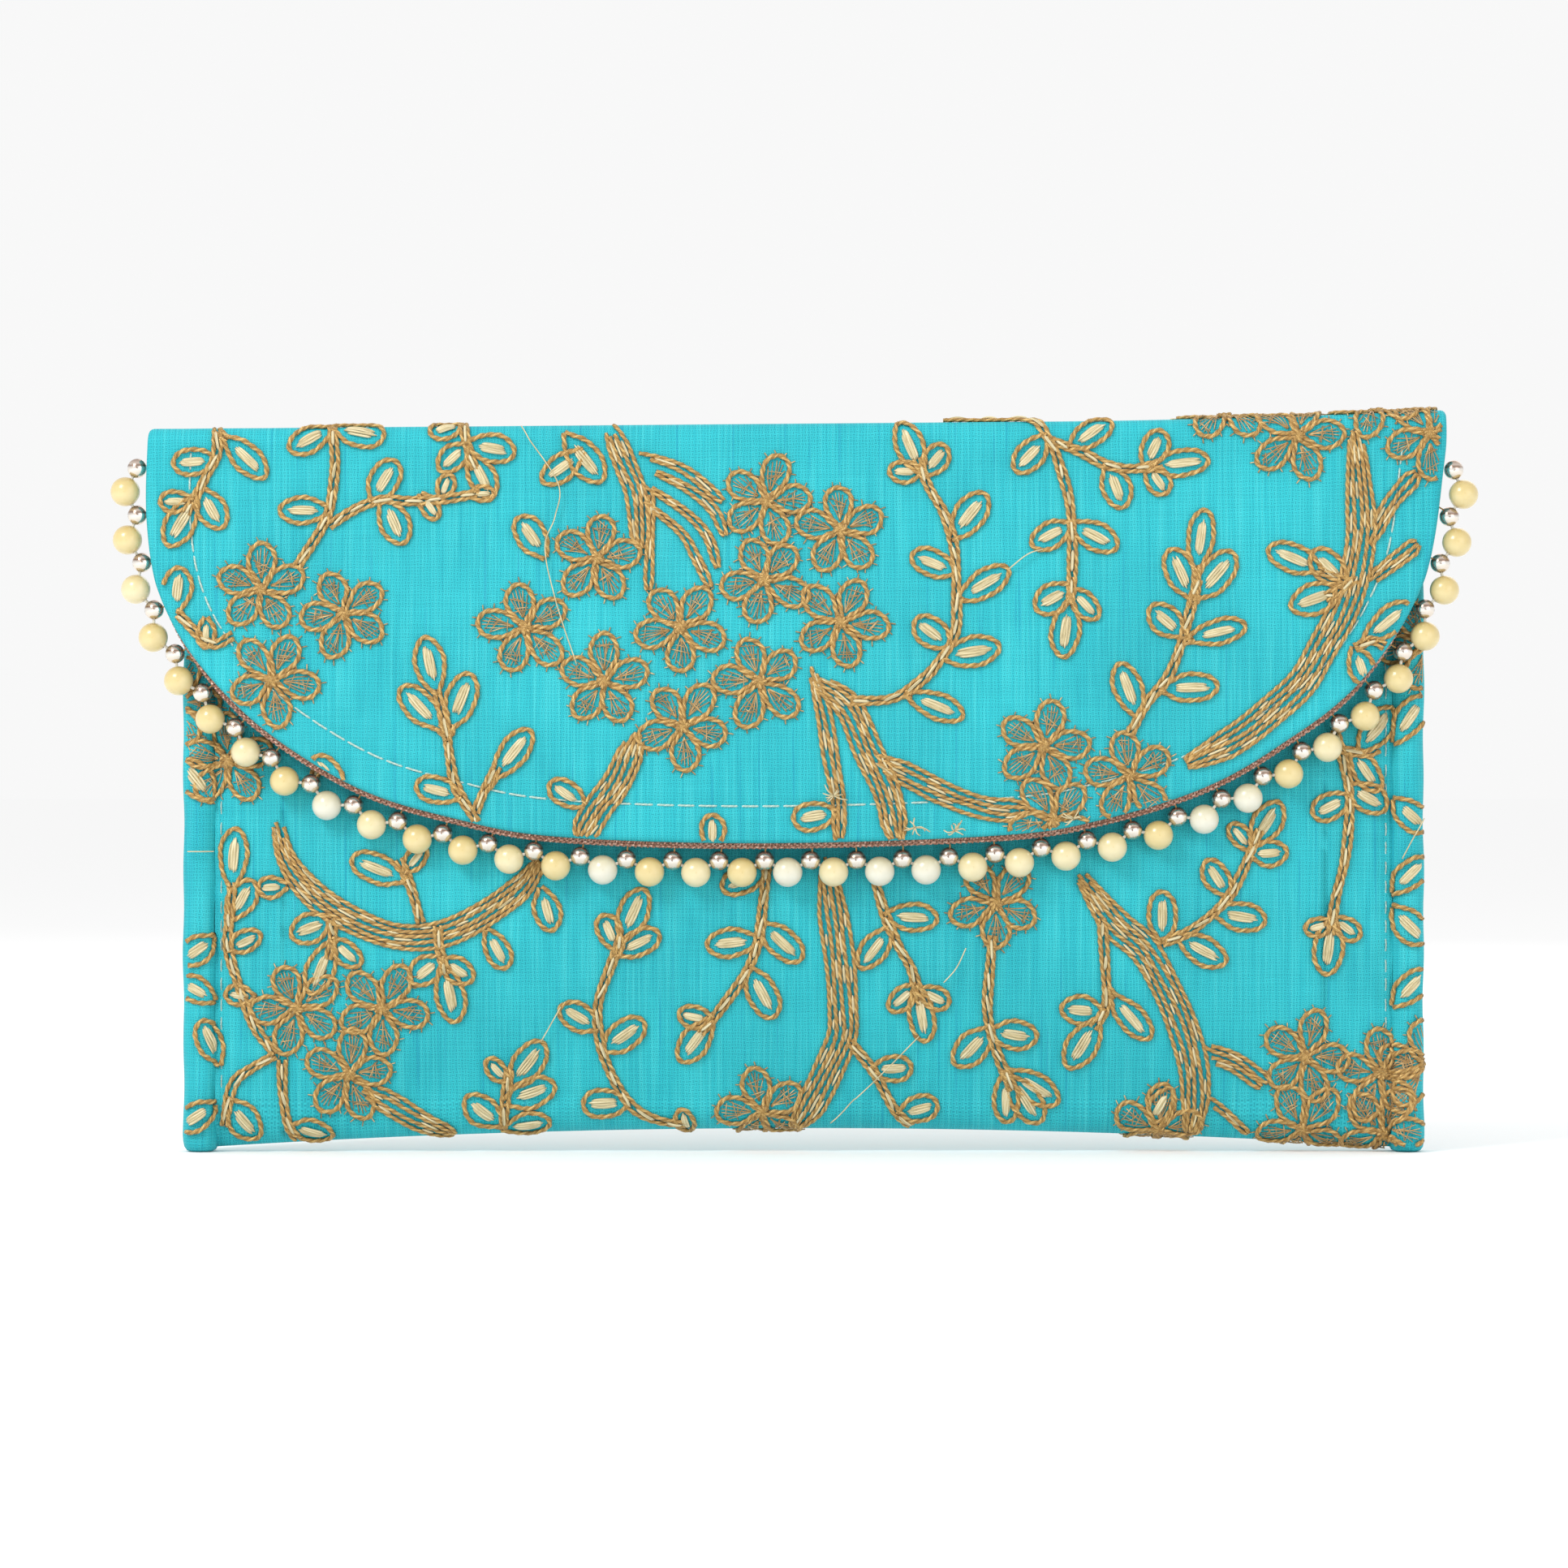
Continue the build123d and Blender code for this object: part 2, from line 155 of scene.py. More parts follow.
def side_of(line):
    """Unit vectors to the left of a flat line."""
    along = unit(np.gradient(line, axis=0))
    return np.stack([-along[:, 1], along[:, 0]], 1)


def moved_out(line, distance):
    """A flat line moved to its right: out of the flap, for its edge read from left to right."""
    return line - side_of(line) * np.reshape(distance, (-1, 1))


def near(point, line):
    """Index of the point of a line nearest to a point."""
    return int(np.argmin(np.linalg.norm(line - np.asarray(point, float), axis=1)))


# ------------------------------------------------------------------ the purse's surfaces
def ripple(x, z, size, seed):
    """Gentle unevenness of hand-made cloth, between -1 and 1."""
    total = np.zeros(np.broadcast(x, z).shape)
    source = np.random.RandomState(seed)
    for octave in range(5):
        angle = source.uniform(-0.5, 0.5) + (math.pi / 2 if octave == 4 else 0)
        wave = size * source.uniform(0.55, 1.5)
        phase = source.uniform(0, 2 * math.pi)
        bend = source.uniform(20, 50)
        run = (x * math.cos(angle) + z * math.sin(angle)) * 2 * math.pi / wave
        total += np.sin(run + phase + np.sin(z / bend + phase) * 1.4)
    return total / 5


def low_edge(x):
    """Height of the bottom fold: its ends stand, its middle arches up."""
    return 0.5 + 4.2 * (1 - np.clip(np.abs(x) / 127, 0, 1) ** 2)


def top_edge(x):
    """Height of the top fold, a little higher at the right."""
    return HEIGHT + 0.3 + 1.1 * x / 130 + 1.6 * np.clip((x - 50) / 80, 0, 1) ** 2


def wall_profile(x):
    return 1 - np.clip(np.abs(x) / PANEL_HALF, 0, 1) ** 2.5


FRONT_SEED, BACK_SEED, FLAP_SEED = 3, 5, 11
PUCKER_DEPTH = 0.28
UNEVEN = 0.42


def pucker(x, z, seed):
    """Small puckers that run in from the stitched hems."""
    beside = np.exp(-np.clip(PANEL_HALF - np.abs(x), 0, None) / 7.0)
    start = np.random.RandomState(seed).uniform(0, 6)
    wave = np.sin(z * 2 * math.pi / 7.5 + start + 1.2 * np.sin(z / 11.0))
    wave = wave + 0.6 * np.sin(z * 2 * math.pi / 4.6 + np.sign(x))
    return beside * wave * PUCKER_DEPTH


def wall_forward(x, z, bow, seed):
    """How far a wall's face stands from the hems' middle, with its dip at the hem's stitches."""
    dip = 0.75 * np.exp(-(((np.abs(x) - PANEL_HALF + 0.6) / 1.6) ** 2))
    inside = np.clip((PANEL_HALF - np.abs(x)) / 12, 0, 1)
    face = HEM_HALF_DEPTH + 0.15 + bow(z) * wall_profile(x) - dip + pucker(x, z, seed)
    return face + UNEVEN * inside * ripple(x, z, 62, seed)


def hem_front(z):
    """How far the rolled hem stands forward: it is thickest at its foot."""
    return 4.5 + 1.7 * np.exp(-((z / 14) ** 2))


def hem_back(z):
    return 4.2 + 0.4 * np.exp(-((z / 14) ** 2))


def over_hem(x, z, flat, depth):
    """The flat wall inside the hems, the round of the hem outside them."""
    share = np.clip((np.abs(x) - HEM_MIDDLE) / HEM_HALF, -0.96, 0.96)
    hem = depth(z) * (1 - np.abs(share) ** 2.6) ** (1 / 2.6)
    return np.where(np.abs(x) > PANEL_HALF + 0.2, hem, flat)


def bottom_ellipse(x):
    """Middle, half width and half height of the bottom fold's U."""
    front = wall_forward(x, BOTTOM_TURN + 0 * x, FRONT_BOW, FRONT_SEED)
    back = wall_forward(x, BOTTOM_TURN + 0 * x, BACK_BOW, BACK_SEED)
    return (front - back) / 2, (front + back) / 2, BOTTOM_TURN - low_edge(x)


def around_bottom(x, angle):
    """A point of the bottom fold: angle 0 at the front wall, pi at the back wall."""
    middle, half, depth = bottom_ellipse(x)
    return np.stack([x, middle + half * np.cos(angle), BOTTOM_TURN - depth * np.sin(angle)], -1)


# Each surface takes millimetres across and height along the cloth: the height is true on the
# upright part, and runs on round the bottom or over the top.
def front_point(x, h):
    z = np.maximum(h, BOTTOM_TURN)
    wall = over_hem(x, h, wall_forward(x, z, FRONT_BOW, FRONT_SEED), hem_front)
    upright = np.stack([x, wall, h + 0 * x], -1)
    _, half, depth = bottom_ellipse(x)
    quarter = math.pi / 2 * np.sqrt((half**2 + depth**2) / 2)
    angle = np.clip((BOTTOM_TURN - h) / quarter, 0, 1.8) * math.pi / 2
    is_wall = (h >= BOTTOM_TURN) | (np.abs(x) > PANEL_HALF + 0.2)
    return np.where(is_wall[..., None], upright, around_bottom(x, angle))


def over_top(x, h, face, front, radius):
    """Runs a face over the top fold: its upright part, a quarter round, then the flat top.
    front is 1 for the flap's side and -1 for the back's."""
    rise = (top_edge(x) - HEIGHT) * np.clip((h - HEIGHT + 40) / 30, 0, 1)
    start = HEIGHT - radius
    angle = np.clip((h - start) / radius, 0, math.pi / 2)
    z = np.where(h < start, h, start + radius * np.sin(angle)) + rise
    flat_run = np.clip(h - start - radius * math.pi / 2, 0, None)
    forward = face - front * (radius * (1 - np.cos(angle)) + flat_run)
    return np.stack([x + 0 * h, forward, z], -1)


def back_point(x, h):
    z = np.clip(h, BOTTOM_TURN, HEIGHT)
    face = -over_hem(x, h, wall_forward(x, z, BACK_BOW, BACK_SEED), hem_back)
    span = np.where(np.abs(x) > PANEL_HALF + 0.2, 5, 18)
    turned = eased((h - HEIGHT + BACK_ROUND + span) / span)
    face = face * (1 - turned) - FOLD_BACK * turned
    return over_top(x, h, face, -1, BACK_ROUND)


def flap_point(x, h):
    z = np.minimum(h, HEIGHT)
    bow = 1 - (x / FLAP_CHORD_HALF) ** 2
    side = FLAP_SIDE(z)
    face = side + (FLAP_MIDDLE(z) - side) * bow + FLAP_THICK + 0.22 * ripple(x, z, 75, FLAP_SEED)
    distance = edge_distance(x, h)
    face = face - 0.38 * np.exp(-(((distance - STITCH_INSET) / 1.1) ** 2))
    face = face + 0.22 * np.clip(1 - distance / 9, 0, 1) * np.sin(x / 16.0 + 0.6)
    turned = eased((h - HEIGHT + FRONT_ROUND + 14) / 14)
    face = face * (1 - turned) + FOLD_FRONT * turned
    return over_top(x, h, face, 1, FRONT_ROUND)


OUTLINE = spline(FLAP_OUTLINE, 0.8)
COARSE_OUTLINE = OUTLINE[::2]


def edge_distance(x, h):
    """Distance from the flap's cut edge."""
    x, h = np.broadcast_arrays(np.asarray(x, float), np.asarray(h, float))
    flat = np.stack([x.ravel(), h.ravel()], 1)
    nearest = np.empty(len(flat))
    for start in range(0, len(flat), 4000):
        part = flat[start : start + 4000, None, :] - COARSE_OUTLINE[None]
        nearest[start : start + 4000] = np.sqrt((part**2).sum(-1).min(1))
    return nearest.reshape(x.shape)


BACKWARD = {back_point: -1.0}


def lifted(surface, x, h, lift):
    """Points a lift off a surface, and its unit normals, for arrays across and along the cloth."""
    x, h = np.asarray(x, float), np.asarray(h, float)
    step = 0.3
    along_x = surface(x + step, h) - surface(x - step, h)
    along_h = surface(x, h + step) - surface(x, h - step)
    normal = unit(np.cross(along_h, along_x) * BACKWARD.get(surface, 1.0))
    return surface(x, h) + normal * np.asarray(lift, float)[..., None], normal


GRID = 0.5


class Cloth:
    """One face of the purse, measured once on a fine grid, for threads to lie on."""

    def __init__(self, surface, left, right, low, high, reach):
        self.corner = np.array([left, low])
        x, h = np.meshgrid(np.arange(left, right, GRID), np.arange(low, high, GRID))
        self.points, self.normals = lifted(surface, x, h, 0 * x)
        self.reach = reach(x, h)

    def cells(self, line):
        """Whole and part steps of the grid at flat places, kept inside it."""
        rows, columns = self.reach.shape
        place = (line - self.corner) / GRID
        place = np.clip(place, 0, [columns - 1.01, rows - 1.01])
        whole = place.astype(int)
        return whole[:, 0], whole[:, 1], place - whole

    def inside(self, line):
        i, j, _ = self.cells(line)
        return self.reach[j, i]

    def lifted(self, line, lift):
        i, j, part = self.cells(line)
        u, v = part[:, :1], part[:, 1:]

        def between(grid):
            low = grid[j, i] * (1 - u) + grid[j, i + 1] * u
            high = grid[j + 1, i] * (1 - u) + grid[j + 1, i + 1] * u
            return low * (1 - v) + high * v

        normals = unit(between(self.normals))
        return between(self.points) + normals * (np.zeros(len(line)) + lift)[:, None], normals


def in_flap(x, h):
    """Whether flat places are on the flap, clear of its cut edge."""
    edge = moved_out(COARSE_OUTLINE, 0.1)
    crossings = np.zeros(x.shape, int)
    for (x1, h1), (x2, h2) in zip(edge, edge[1:]):
        if x1 != x2:
            under = h > h1 + (x - x1) * (h2 - h1) / (x2 - x1)
            crossings += under & ((x1 <= x) != (x2 <= x))
    left = np.interp(h, [118, 148, 149], [-132.2, -131.6, -131.4])
    return (crossings % 2 == 1) | ((h > 148.6) & (x > left) & (x < 129.2))


def on_panel(x, h):
    """Whether flat places are on a panel or on the face of a hem."""
    low = np.where(np.abs(x) > PANEL_HALF - 1, 1.2, -6.0)
    return (np.abs(x) < HEM_OUT - 0.7) & (h > low)


# ------------------------------------------------------------------ materials
class Look:
    """A material or world in the making. Its methods take sockets, numbers or colours and
    give sockets."""

    def __init__(self, owner, shader="Principled BSDF"):
        owner.use_nodes = True
        self.owner, self.tree = owner, owner.node_tree
        self.shader = self.tree.nodes[shader]

    def feed(self, socket, value):
        if isinstance(value, bpy.types.NodeSocket):
            self.tree.links.new(value, socket)
        elif isinstance(value, tuple) and len(socket.default_value) == len(value) + 1:
            socket.default_value = (*value, 1)
        else:
            socket.default_value = value

    def node(self, kind, inputs=None, out=0, **settings):
        """A node's output, from its inputs by name or number, and its settings."""
        made = self.tree.nodes.new("ShaderNode" + kind)
        for key, value in settings.items():
            setattr(made, key, value)
        for key, value in (inputs or {}).items():
            self.feed(made.inputs[key], value)
        return made.outputs[out]

    def ramp(self, stops, source):
        """A colour ramp over a value."""
        made = self.tree.nodes.new("ShaderNodeValToRGB")
        elements = made.color_ramp.elements
        while len(elements) < len(stops):
            elements.new(0.5)
        for element, (place, colour) in zip(elements, stops):
            element.position = place
            element.color = (*colour, 1)
        self.feed(made.inputs[0], source)
        return made.outputs[0]

    def math(self, operation, a, b=0.5, c=0.0):
        return self.node("Math", {0: a, 1: b, 2: c}, operation=operation)

    def times(self, a, b):
        return self.math("MULTIPLY", a, b)

    def raised(self, value):
        """A value from -1 to 1, brought to 0 to 1."""
        return self.math("MULTIPLY_ADD", value, 0.5, 0.5)

    def mix(self, kind, share, a, b):
        return self.node("Mix", {0: share, 6: a, 7: b}, 2, data_type="RGBA", blend_type=kind)

    def noise(self, vector, scale, detail=2.0, stretch=(1, 1, 1), roughness=0.5):
        """Noise over a vector that is first stretched."""
        place = self.node("Mapping", {"Vector": vector, "Scale": stretch})
        inputs = {"Vector": place, "Scale": scale, "Detail": detail, "Roughness": roughness}
        return self.node("TexNoise", inputs)

    def weave(self):
        return self.node("UVMap", uv_map="weave")

    def place(self):
        return self.node("TexCoord", out="Object")

    def apart(self, vector):
        return [self.node("SeparateXYZ", {0: vector}, k) for k in range(3)]

    def upward(self):
        """How far a surface faces up, from 0 below to 1 above."""
        return self.raised(self.apart(self.node("NewGeometry", out="Normal"))[2])

    def finish(self, colour, bump=None, **values):
        """Feeds the shader its colour, its bump (height, strength, metres) and other inputs."""
        self.feed(self.shader.inputs["Base Color"], colour)
        for key, value in values.items():
            self.feed(self.shader.inputs[key.replace("_", " ")], value)
        if bump:
            inputs = dict(zip(("Height", "Strength", "Distance"), bump))
            self.feed(self.shader.inputs["Normal"], self.node("Bump", inputs))
        return self.owner


def look_of(name):
    return Look(bpy.data.materials.new(name))


def darker(tone, share):
    return tuple(c * share for c in tone)


THREAD_PITCH = 0.62


def woven(name, colours, slub, shine, pitch=THREAD_PITCH):
    """Plain weave, in millimetres of cloth: each thread has its own shade and thickness,
    warp and weft pass over each other in turn, with painted shade in the hollows between them
    and a little painted highlight on their crowns, and slubs run up and down the cloth."""
    look = look_of(name)
    uv = look.weave()
    wobble = look.node("TexNoise", {"Vector": uv, "Scale": 0.35, "Detail": 2.0}, 1)
    shifted = {0: wobble, 1: (0.55, 0.55, 0), 2: uv}
    shift = look.apart(look.node("VectorMath", shifted, operation="MULTIPLY_ADD"))
    across, up = (look.times(side, math.pi / pitch) for side in shift[:2])
    warp, weft = (look.math("ABSOLUTE", look.math("SINE", angle)) for angle in (across, up))
    over = look.raised(look.times(look.math("COSINE", across), look.math("COSINE", up)))
    under = look.math("SUBTRACT", 1.0, over)
    height = look.math("MAXIMUM", look.times(warp, over), look.times(weft, under))
    thread = look.noise(uv, 1.0, 3.0, (1.6, 0.035, 1))
    pick = look.noise(uv, 1.0, 2.0, (0.06, 1.5, 1))
    shade = look.noise(uv, 0.035, 3.0)
    streak = look.noise(uv, 1.0, 2.0, (1.15, 0.022, 1), 0.4)
    base = look.ramp(list(zip((0.28, 0.5, 0.72), colours)), thread)
    base = look.mix("SOFT_LIGHT", 0.15, base, pick)
    # Painted shade: the weave is darkened in the hollows between threads and lightened a little on their
    # crowns.
    painted_weave_shade = look.ramp([(0.0, (0.30, 0.45, 0.50)), (0.62, (1.1, 1.08, 1.06))], height)
    base = look.mix("MULTIPLY", 0.85, base, painted_weave_shade)
    mark = look.ramp([(0.655, (0, 0, 0)), (0.70, (1, 1, 1))], streak)
    base = look.mix("MIX", look.times(mark, slub[0]), base, slub[1])
    base = look.mix("SOFT_LIGHT", 0.4, base, shade)
    return look.finish(
        base, (height, 0.55, 0.00022), Roughness=0.62, Sheen_Weight=shine, Sheen_Roughness=0.4,
        Sheen_Tint=colours[2], Specular_IOR_Level=0.22,
    )


def twisted(name, dark, middle, light, metallic, roughness, plies=2, strands=5):
    """Twisted cord: fine strands along each ply, with painted shade in the grooves between the strands and
    between the plies (along one side of a one-ply thread), and a painted highlight on each ply's crest.
    """
    look = look_of(name)
    uv = look.weave()
    along, around, _ = look.apart(uv)
    slant = look.times(around, 2 * math.pi * strands * plies)
    # The strands' ridges: the bump's height and, in the colour, painted shade in their grooves.
    strand = look.raised(look.math("SINE", look.math("MULTIPLY_ADD", along, 0.9, slant)))
    # Painted shade between the plies: 1 on each ply's crest, 0 in the groove between plies.
    painted_ply_shade = look.math("ABSOLUTE", look.math("COSINE", look.times(around, math.pi * plies)))
    vary = look.noise(uv, 0.6, 3.0, (1, 6, 1))
    level = look.math("ADD", look.times(strand, 0.3), look.times(vary, 0.75))
    # Painted shade and highlight: dark tone in the grooves, light tone on the crests, varied by noise.
    base = look.ramp([(0.12, dark), (0.42, middle), (0.72, light)], look.times(level, look.raised(painted_ply_shade)))
    bump = (strand, 0.5, 0.00008)
    return look.finish(base, bump, Metallic=metallic, Roughness=roughness, Sheen_Weight=0.15)


def pearl_material(name, skin, glow):
    """Pearl plating: a soft coloured body under a clear coat, a painted reflection that
    turns its upper side olive, and faint mottling."""
    look = look_of(name)
    mottle = look.noise(look.place(), 420, 3.0)
    tone = look.mix("MIX", look.times(mottle, 0.6), skin, glow)
    # Painted reflection: the colour is darkened to olive towards the side that faces up.
    stops = [(0.35, (1, 1, 1)), (0.80, (0.80, 0.74, 0.56)), (1.0, (0.60, 0.50, 0.30))]
    tone = look.mix("MULTIPLY", 0.85, tone, look.ramp(stops, look.upward()))
    return look.finish(
        tone, (mottle, 0.12, 0.0001), Roughness=0.30, Coat_Weight=0.5, Coat_Roughness=0.10,
        Subsurface_Weight=0.12, Subsurface_Radius=(0.9, 0.7, 0.4), Subsurface_Scale=0.0012,
    )


def plated_bead(name):
    """Warm silver plating on small beads, with painted reflections: light and brown bands by which way the
    surface faces, brown above.
    """
    look = look_of(name)
    plating_noise = look.noise(look.place(), 300, 3.0)
    # Painted reflections: colour bands set by how far the surface faces up, their edges wobbled by noise.
    stops = [
        (0.0, (0.66, 0.56, 0.44)), (0.42, (0.80, 0.74, 0.66)), (0.56, (0.86, 0.82, 0.76)),
        (0.68, (0.26, 0.16, 0.11)), (0.80, (0.62, 0.52, 0.45)), (1.0, (0.36, 0.25, 0.19)),
    ]
    base = look.ramp(stops, look.math("MULTIPLY_ADD", plating_noise, 0.08, look.upward()))
    return look.finish(base, Metallic=0.9, Roughness=0.2)


def plated(name, tone, roughness):
    """Plated metal with light tarnish and rubbing."""
    look = look_of(name)
    plating_noise = look.noise(look.place(), 260, 4.0)
    base = look.mix("MIX", look.times(plating_noise, 0.4), tone, darker(tone, 0.7))
    rough = look.math("MULTIPLY_ADD", plating_noise, 0.12, roughness)
    return look.finish(base, (plating_noise, 0.06, 0.0001), Roughness=rough, Metallic=1.0)


def felted(name, tone):
    """Matted fibres."""
    look = look_of(name)
    fibres = look.noise(look.place(), 900, 5.0)
    base = look.mix("MIX", fibres, tone, darker(tone, 0.8))
    return look.finish(base, (fibres, 0.5, 0.0003), Roughness=0.9)


TURQUOISE = [(0.016, 0.375, 0.445), (0.024, 0.435, 0.495), (0.045, 0.495, 0.545)]
SATIN = [(0.55, 0.42, 0.2), (0.66, 0.52, 0.28), (0.75, 0.62, 0.36)]
raw_silk = woven("raw_silk", TURQUOISE, (0.45, (0.006, 0.24, 0.37)), 0.06)
satin = woven("lining_satin", SATIN, (0.1, (0.5, 0.38, 0.18)), 0.4, 0.3)
# Each cord's dark, middle and light tones: the dark tone also serves as its painted shade in the grooves
# between plies and strands, the light tone as its painted highlight on the ply crests.
gold_cord, cream_thread, fine_gold, copper_gimp, stitch_thread = (
    twisted(name, *look)
    for name, *look in (
        ("gold_cord", (0.10, 0.044, 0.008), (0.43, 0.235, 0.050), (0.82, 0.57, 0.22), 0.15, 0.42),
        ("cream_thread", (0.34, 0.27, 0.12), (0.60, 0.51, 0.29), (0.76, 0.69, 0.47), 0.0, 0.55, 1, 3),
        ("fine_gold_thread", (0.14, 0.060, 0.015), (0.46, 0.27, 0.085), (0.82, 0.64, 0.34), 0.15, 0.4, 1, 2),
        ("copper_gimp", (0.10, 0.030, 0.018), (0.46, 0.20, 0.12), (0.92, 0.66, 0.54), 0.4, 0.3),
        ("stitch_thread", (0.20, 0.34, 0.30), (0.42, 0.60, 0.53), (0.66, 0.78, 0.70), 0.0, 0.6, 1, 2),
    )
)
# The pearl and silver plating materials carry painted reflections: olive on the pearls' upper sides, light
# and brown bands on the beads, set by which way a surface faces up.
PEARLS = {
    "i": pearl_material("pearl_ivory", (0.66, 0.53, 0.24), (0.78, 0.68, 0.40)),
    "c": pearl_material("pearl_cream", (0.70, 0.61, 0.36), (0.82, 0.75, 0.52)),
    "w": pearl_material("pearl_white", (0.68, 0.66, 0.54), (0.80, 0.79, 0.71)),
}
silver = plated_bead("silver_plating")
brass = plated("snap_plating", (0.80, 0.66, 0.38), 0.22)
steel = plated("washer_steel", (0.60, 0.60, 0.58), 0.35)
magnet = plated("magnet_black", (0.10, 0.10, 0.11), 0.45)
stiffener = felted("stiffener_felt", (0.86, 0.85, 0.80))
string_thread = felted("bead_string", (0.80, 0.76, 0.64))


# ------------------------------------------------------------------ building pieces
def mesh_piece(name, vertices, faces, material, uv=None, smooth=True):
    """A piece from local points, with its weave coordinates in millimetres."""
    mesh = bpy.data.meshes.new(name)
    mesh.from_pydata(to_world(vertices).tolist(), [], faces)
    if uv is not None:
        loops = np.empty(len(mesh.loops), int)
        mesh.loops.foreach_get("vertex_index", loops)
        layer = mesh.uv_layers.new(name="weave")
        layer.data.foreach_set("uv", np.asarray(uv, float)[loops].ravel())
    mesh.materials.append(material)
    if smooth:
        mesh.polygons.foreach_set("use_smooth", [True] * len(mesh.polygons))
    mesh.update()
    piece = bpy.data.objects.new(name, mesh)
    bpy.context.scene.collection.objects.link(piece)
    return piece


def grid_faces(rows, columns, closed=False, start=0, flip=False):
    """Quads over rows of vertices; closed joins each row's last column to its first."""
    faces = []
    last = columns if closed else columns - 1
    for r in range(rows - 1):
        for c in range(last):
            a = start + r * columns + c
            b = start + r * columns + (c + 1) % columns
            quad = (a, b, b + columns, a + columns)
            faces.append(quad[::-1] if flip else quad)
    return faces


def grid_piece(name, points, uv, material, flip=False):
    rows, columns = points.shape[:2]
    faces = grid_faces(rows, columns, flip=flip)
    return mesh_piece(name, points.reshape(-1, 3), faces, material, uv.reshape(-1, 2))


class Threads:
    """Many cords gathered into one piece."""

    def __init__(self):
        self.points, self.faces, self.uv, self.count = [], [], [], 0

    def add(
        self, path, normals, radius, twist=0.0, plies=2, sides=8, flat=0.8, phase=0.0, taper=False
    ):
        """A cord along a path of local points. Its section has one lobe for each ply and turns
        once every twist millimetres; a flat cord is pressed down towards the cloth."""
        tangent = unit(np.gradient(path, axis=0))
        beside = unit(np.cross(normals, tangent))
        out = np.cross(tangent, beside)
        run = np.concatenate([[0], np.cumsum(np.linalg.norm(np.diff(path, axis=0), axis=1))])
        turn = phase + (2 * math.pi * run / twist if twist else 0 * run)
        around = np.arange(sides) * 2 * math.pi / sides
        angle = turn[:, None] + around[None, :]
        lobe = 1.0 if plies < 2 else 0.86 + 0.14 * np.cos(plies * around)[None, :]
        size = np.full(len(path), float(radius))
        if taper:
            size *= np.clip(np.minimum(run, run[-1] - run) / (1.5 * radius), 0.35, 1)
        reach = size[:, None] * lobe * np.ones_like(angle)
        ring = (
            path[:, None, :]
            + (reach * np.cos(angle))[..., None] * beside[:, None, :]
            + (reach * np.sin(angle) * flat)[..., None] * out[:, None, :]
        )
        start = self.count
        self.points.append(ring.reshape(-1, 3))
        u = np.repeat(run, sides)
        v = np.tile(around / (2 * math.pi), len(path))
        self.uv.append(np.stack([u, v], 1))
        self.faces += grid_faces(len(path), sides, True, start)
        self.faces.append(tuple(range(start, start + sides))[::-1])
        self.faces.append(tuple(range(start + (len(path) - 1) * sides, start + len(path) * sides)))
        self.count += ring.shape[0] * sides

    def piece(self, name, material):
        return mesh_piece(name, np.vstack(self.points), self.faces, material, np.vstack(self.uv))


# ------------------------------------------------------------------ embroidery
CORD = 0.60
CORD_TWIST = 3.8
CORD_LIFT = 0.42
FINE = 0.17
CREAM = 0.30
RING = 0.42
PETALS = 5
PETAL = 9.4
PETAL_HALF = 2.75
LEAF_WIDTH = 5.6
LONGEST_LEAF = 11.5


def both_sides(half):
    """An outline from one half of it, as shares of its length and half width."""
    return half + [(a, -b) for a, b in half[-2::-1]]


LEAF_SHAPE = both_sides(
    [(-0.04, 0.12), (0.10, 0.42), (0.32, 0.86), (0.58, 1.0), (0.83, 0.78), (0.97, 0.34), (1.0, 0.0)]
)
PETAL_SHAPE = both_sides(
    [(0.07, 0.10), (0.20, 0.34), (0.42, 0.84), (0.64, 1.0), (0.85, 0.80), (0.97, 0.36), (1.0, 0.0)]
)


def turned_left(vector):
    return np.array([-vector[1], vector[0]])


def heading(angle):
    return np.array([math.cos(angle), math.sin(angle)])



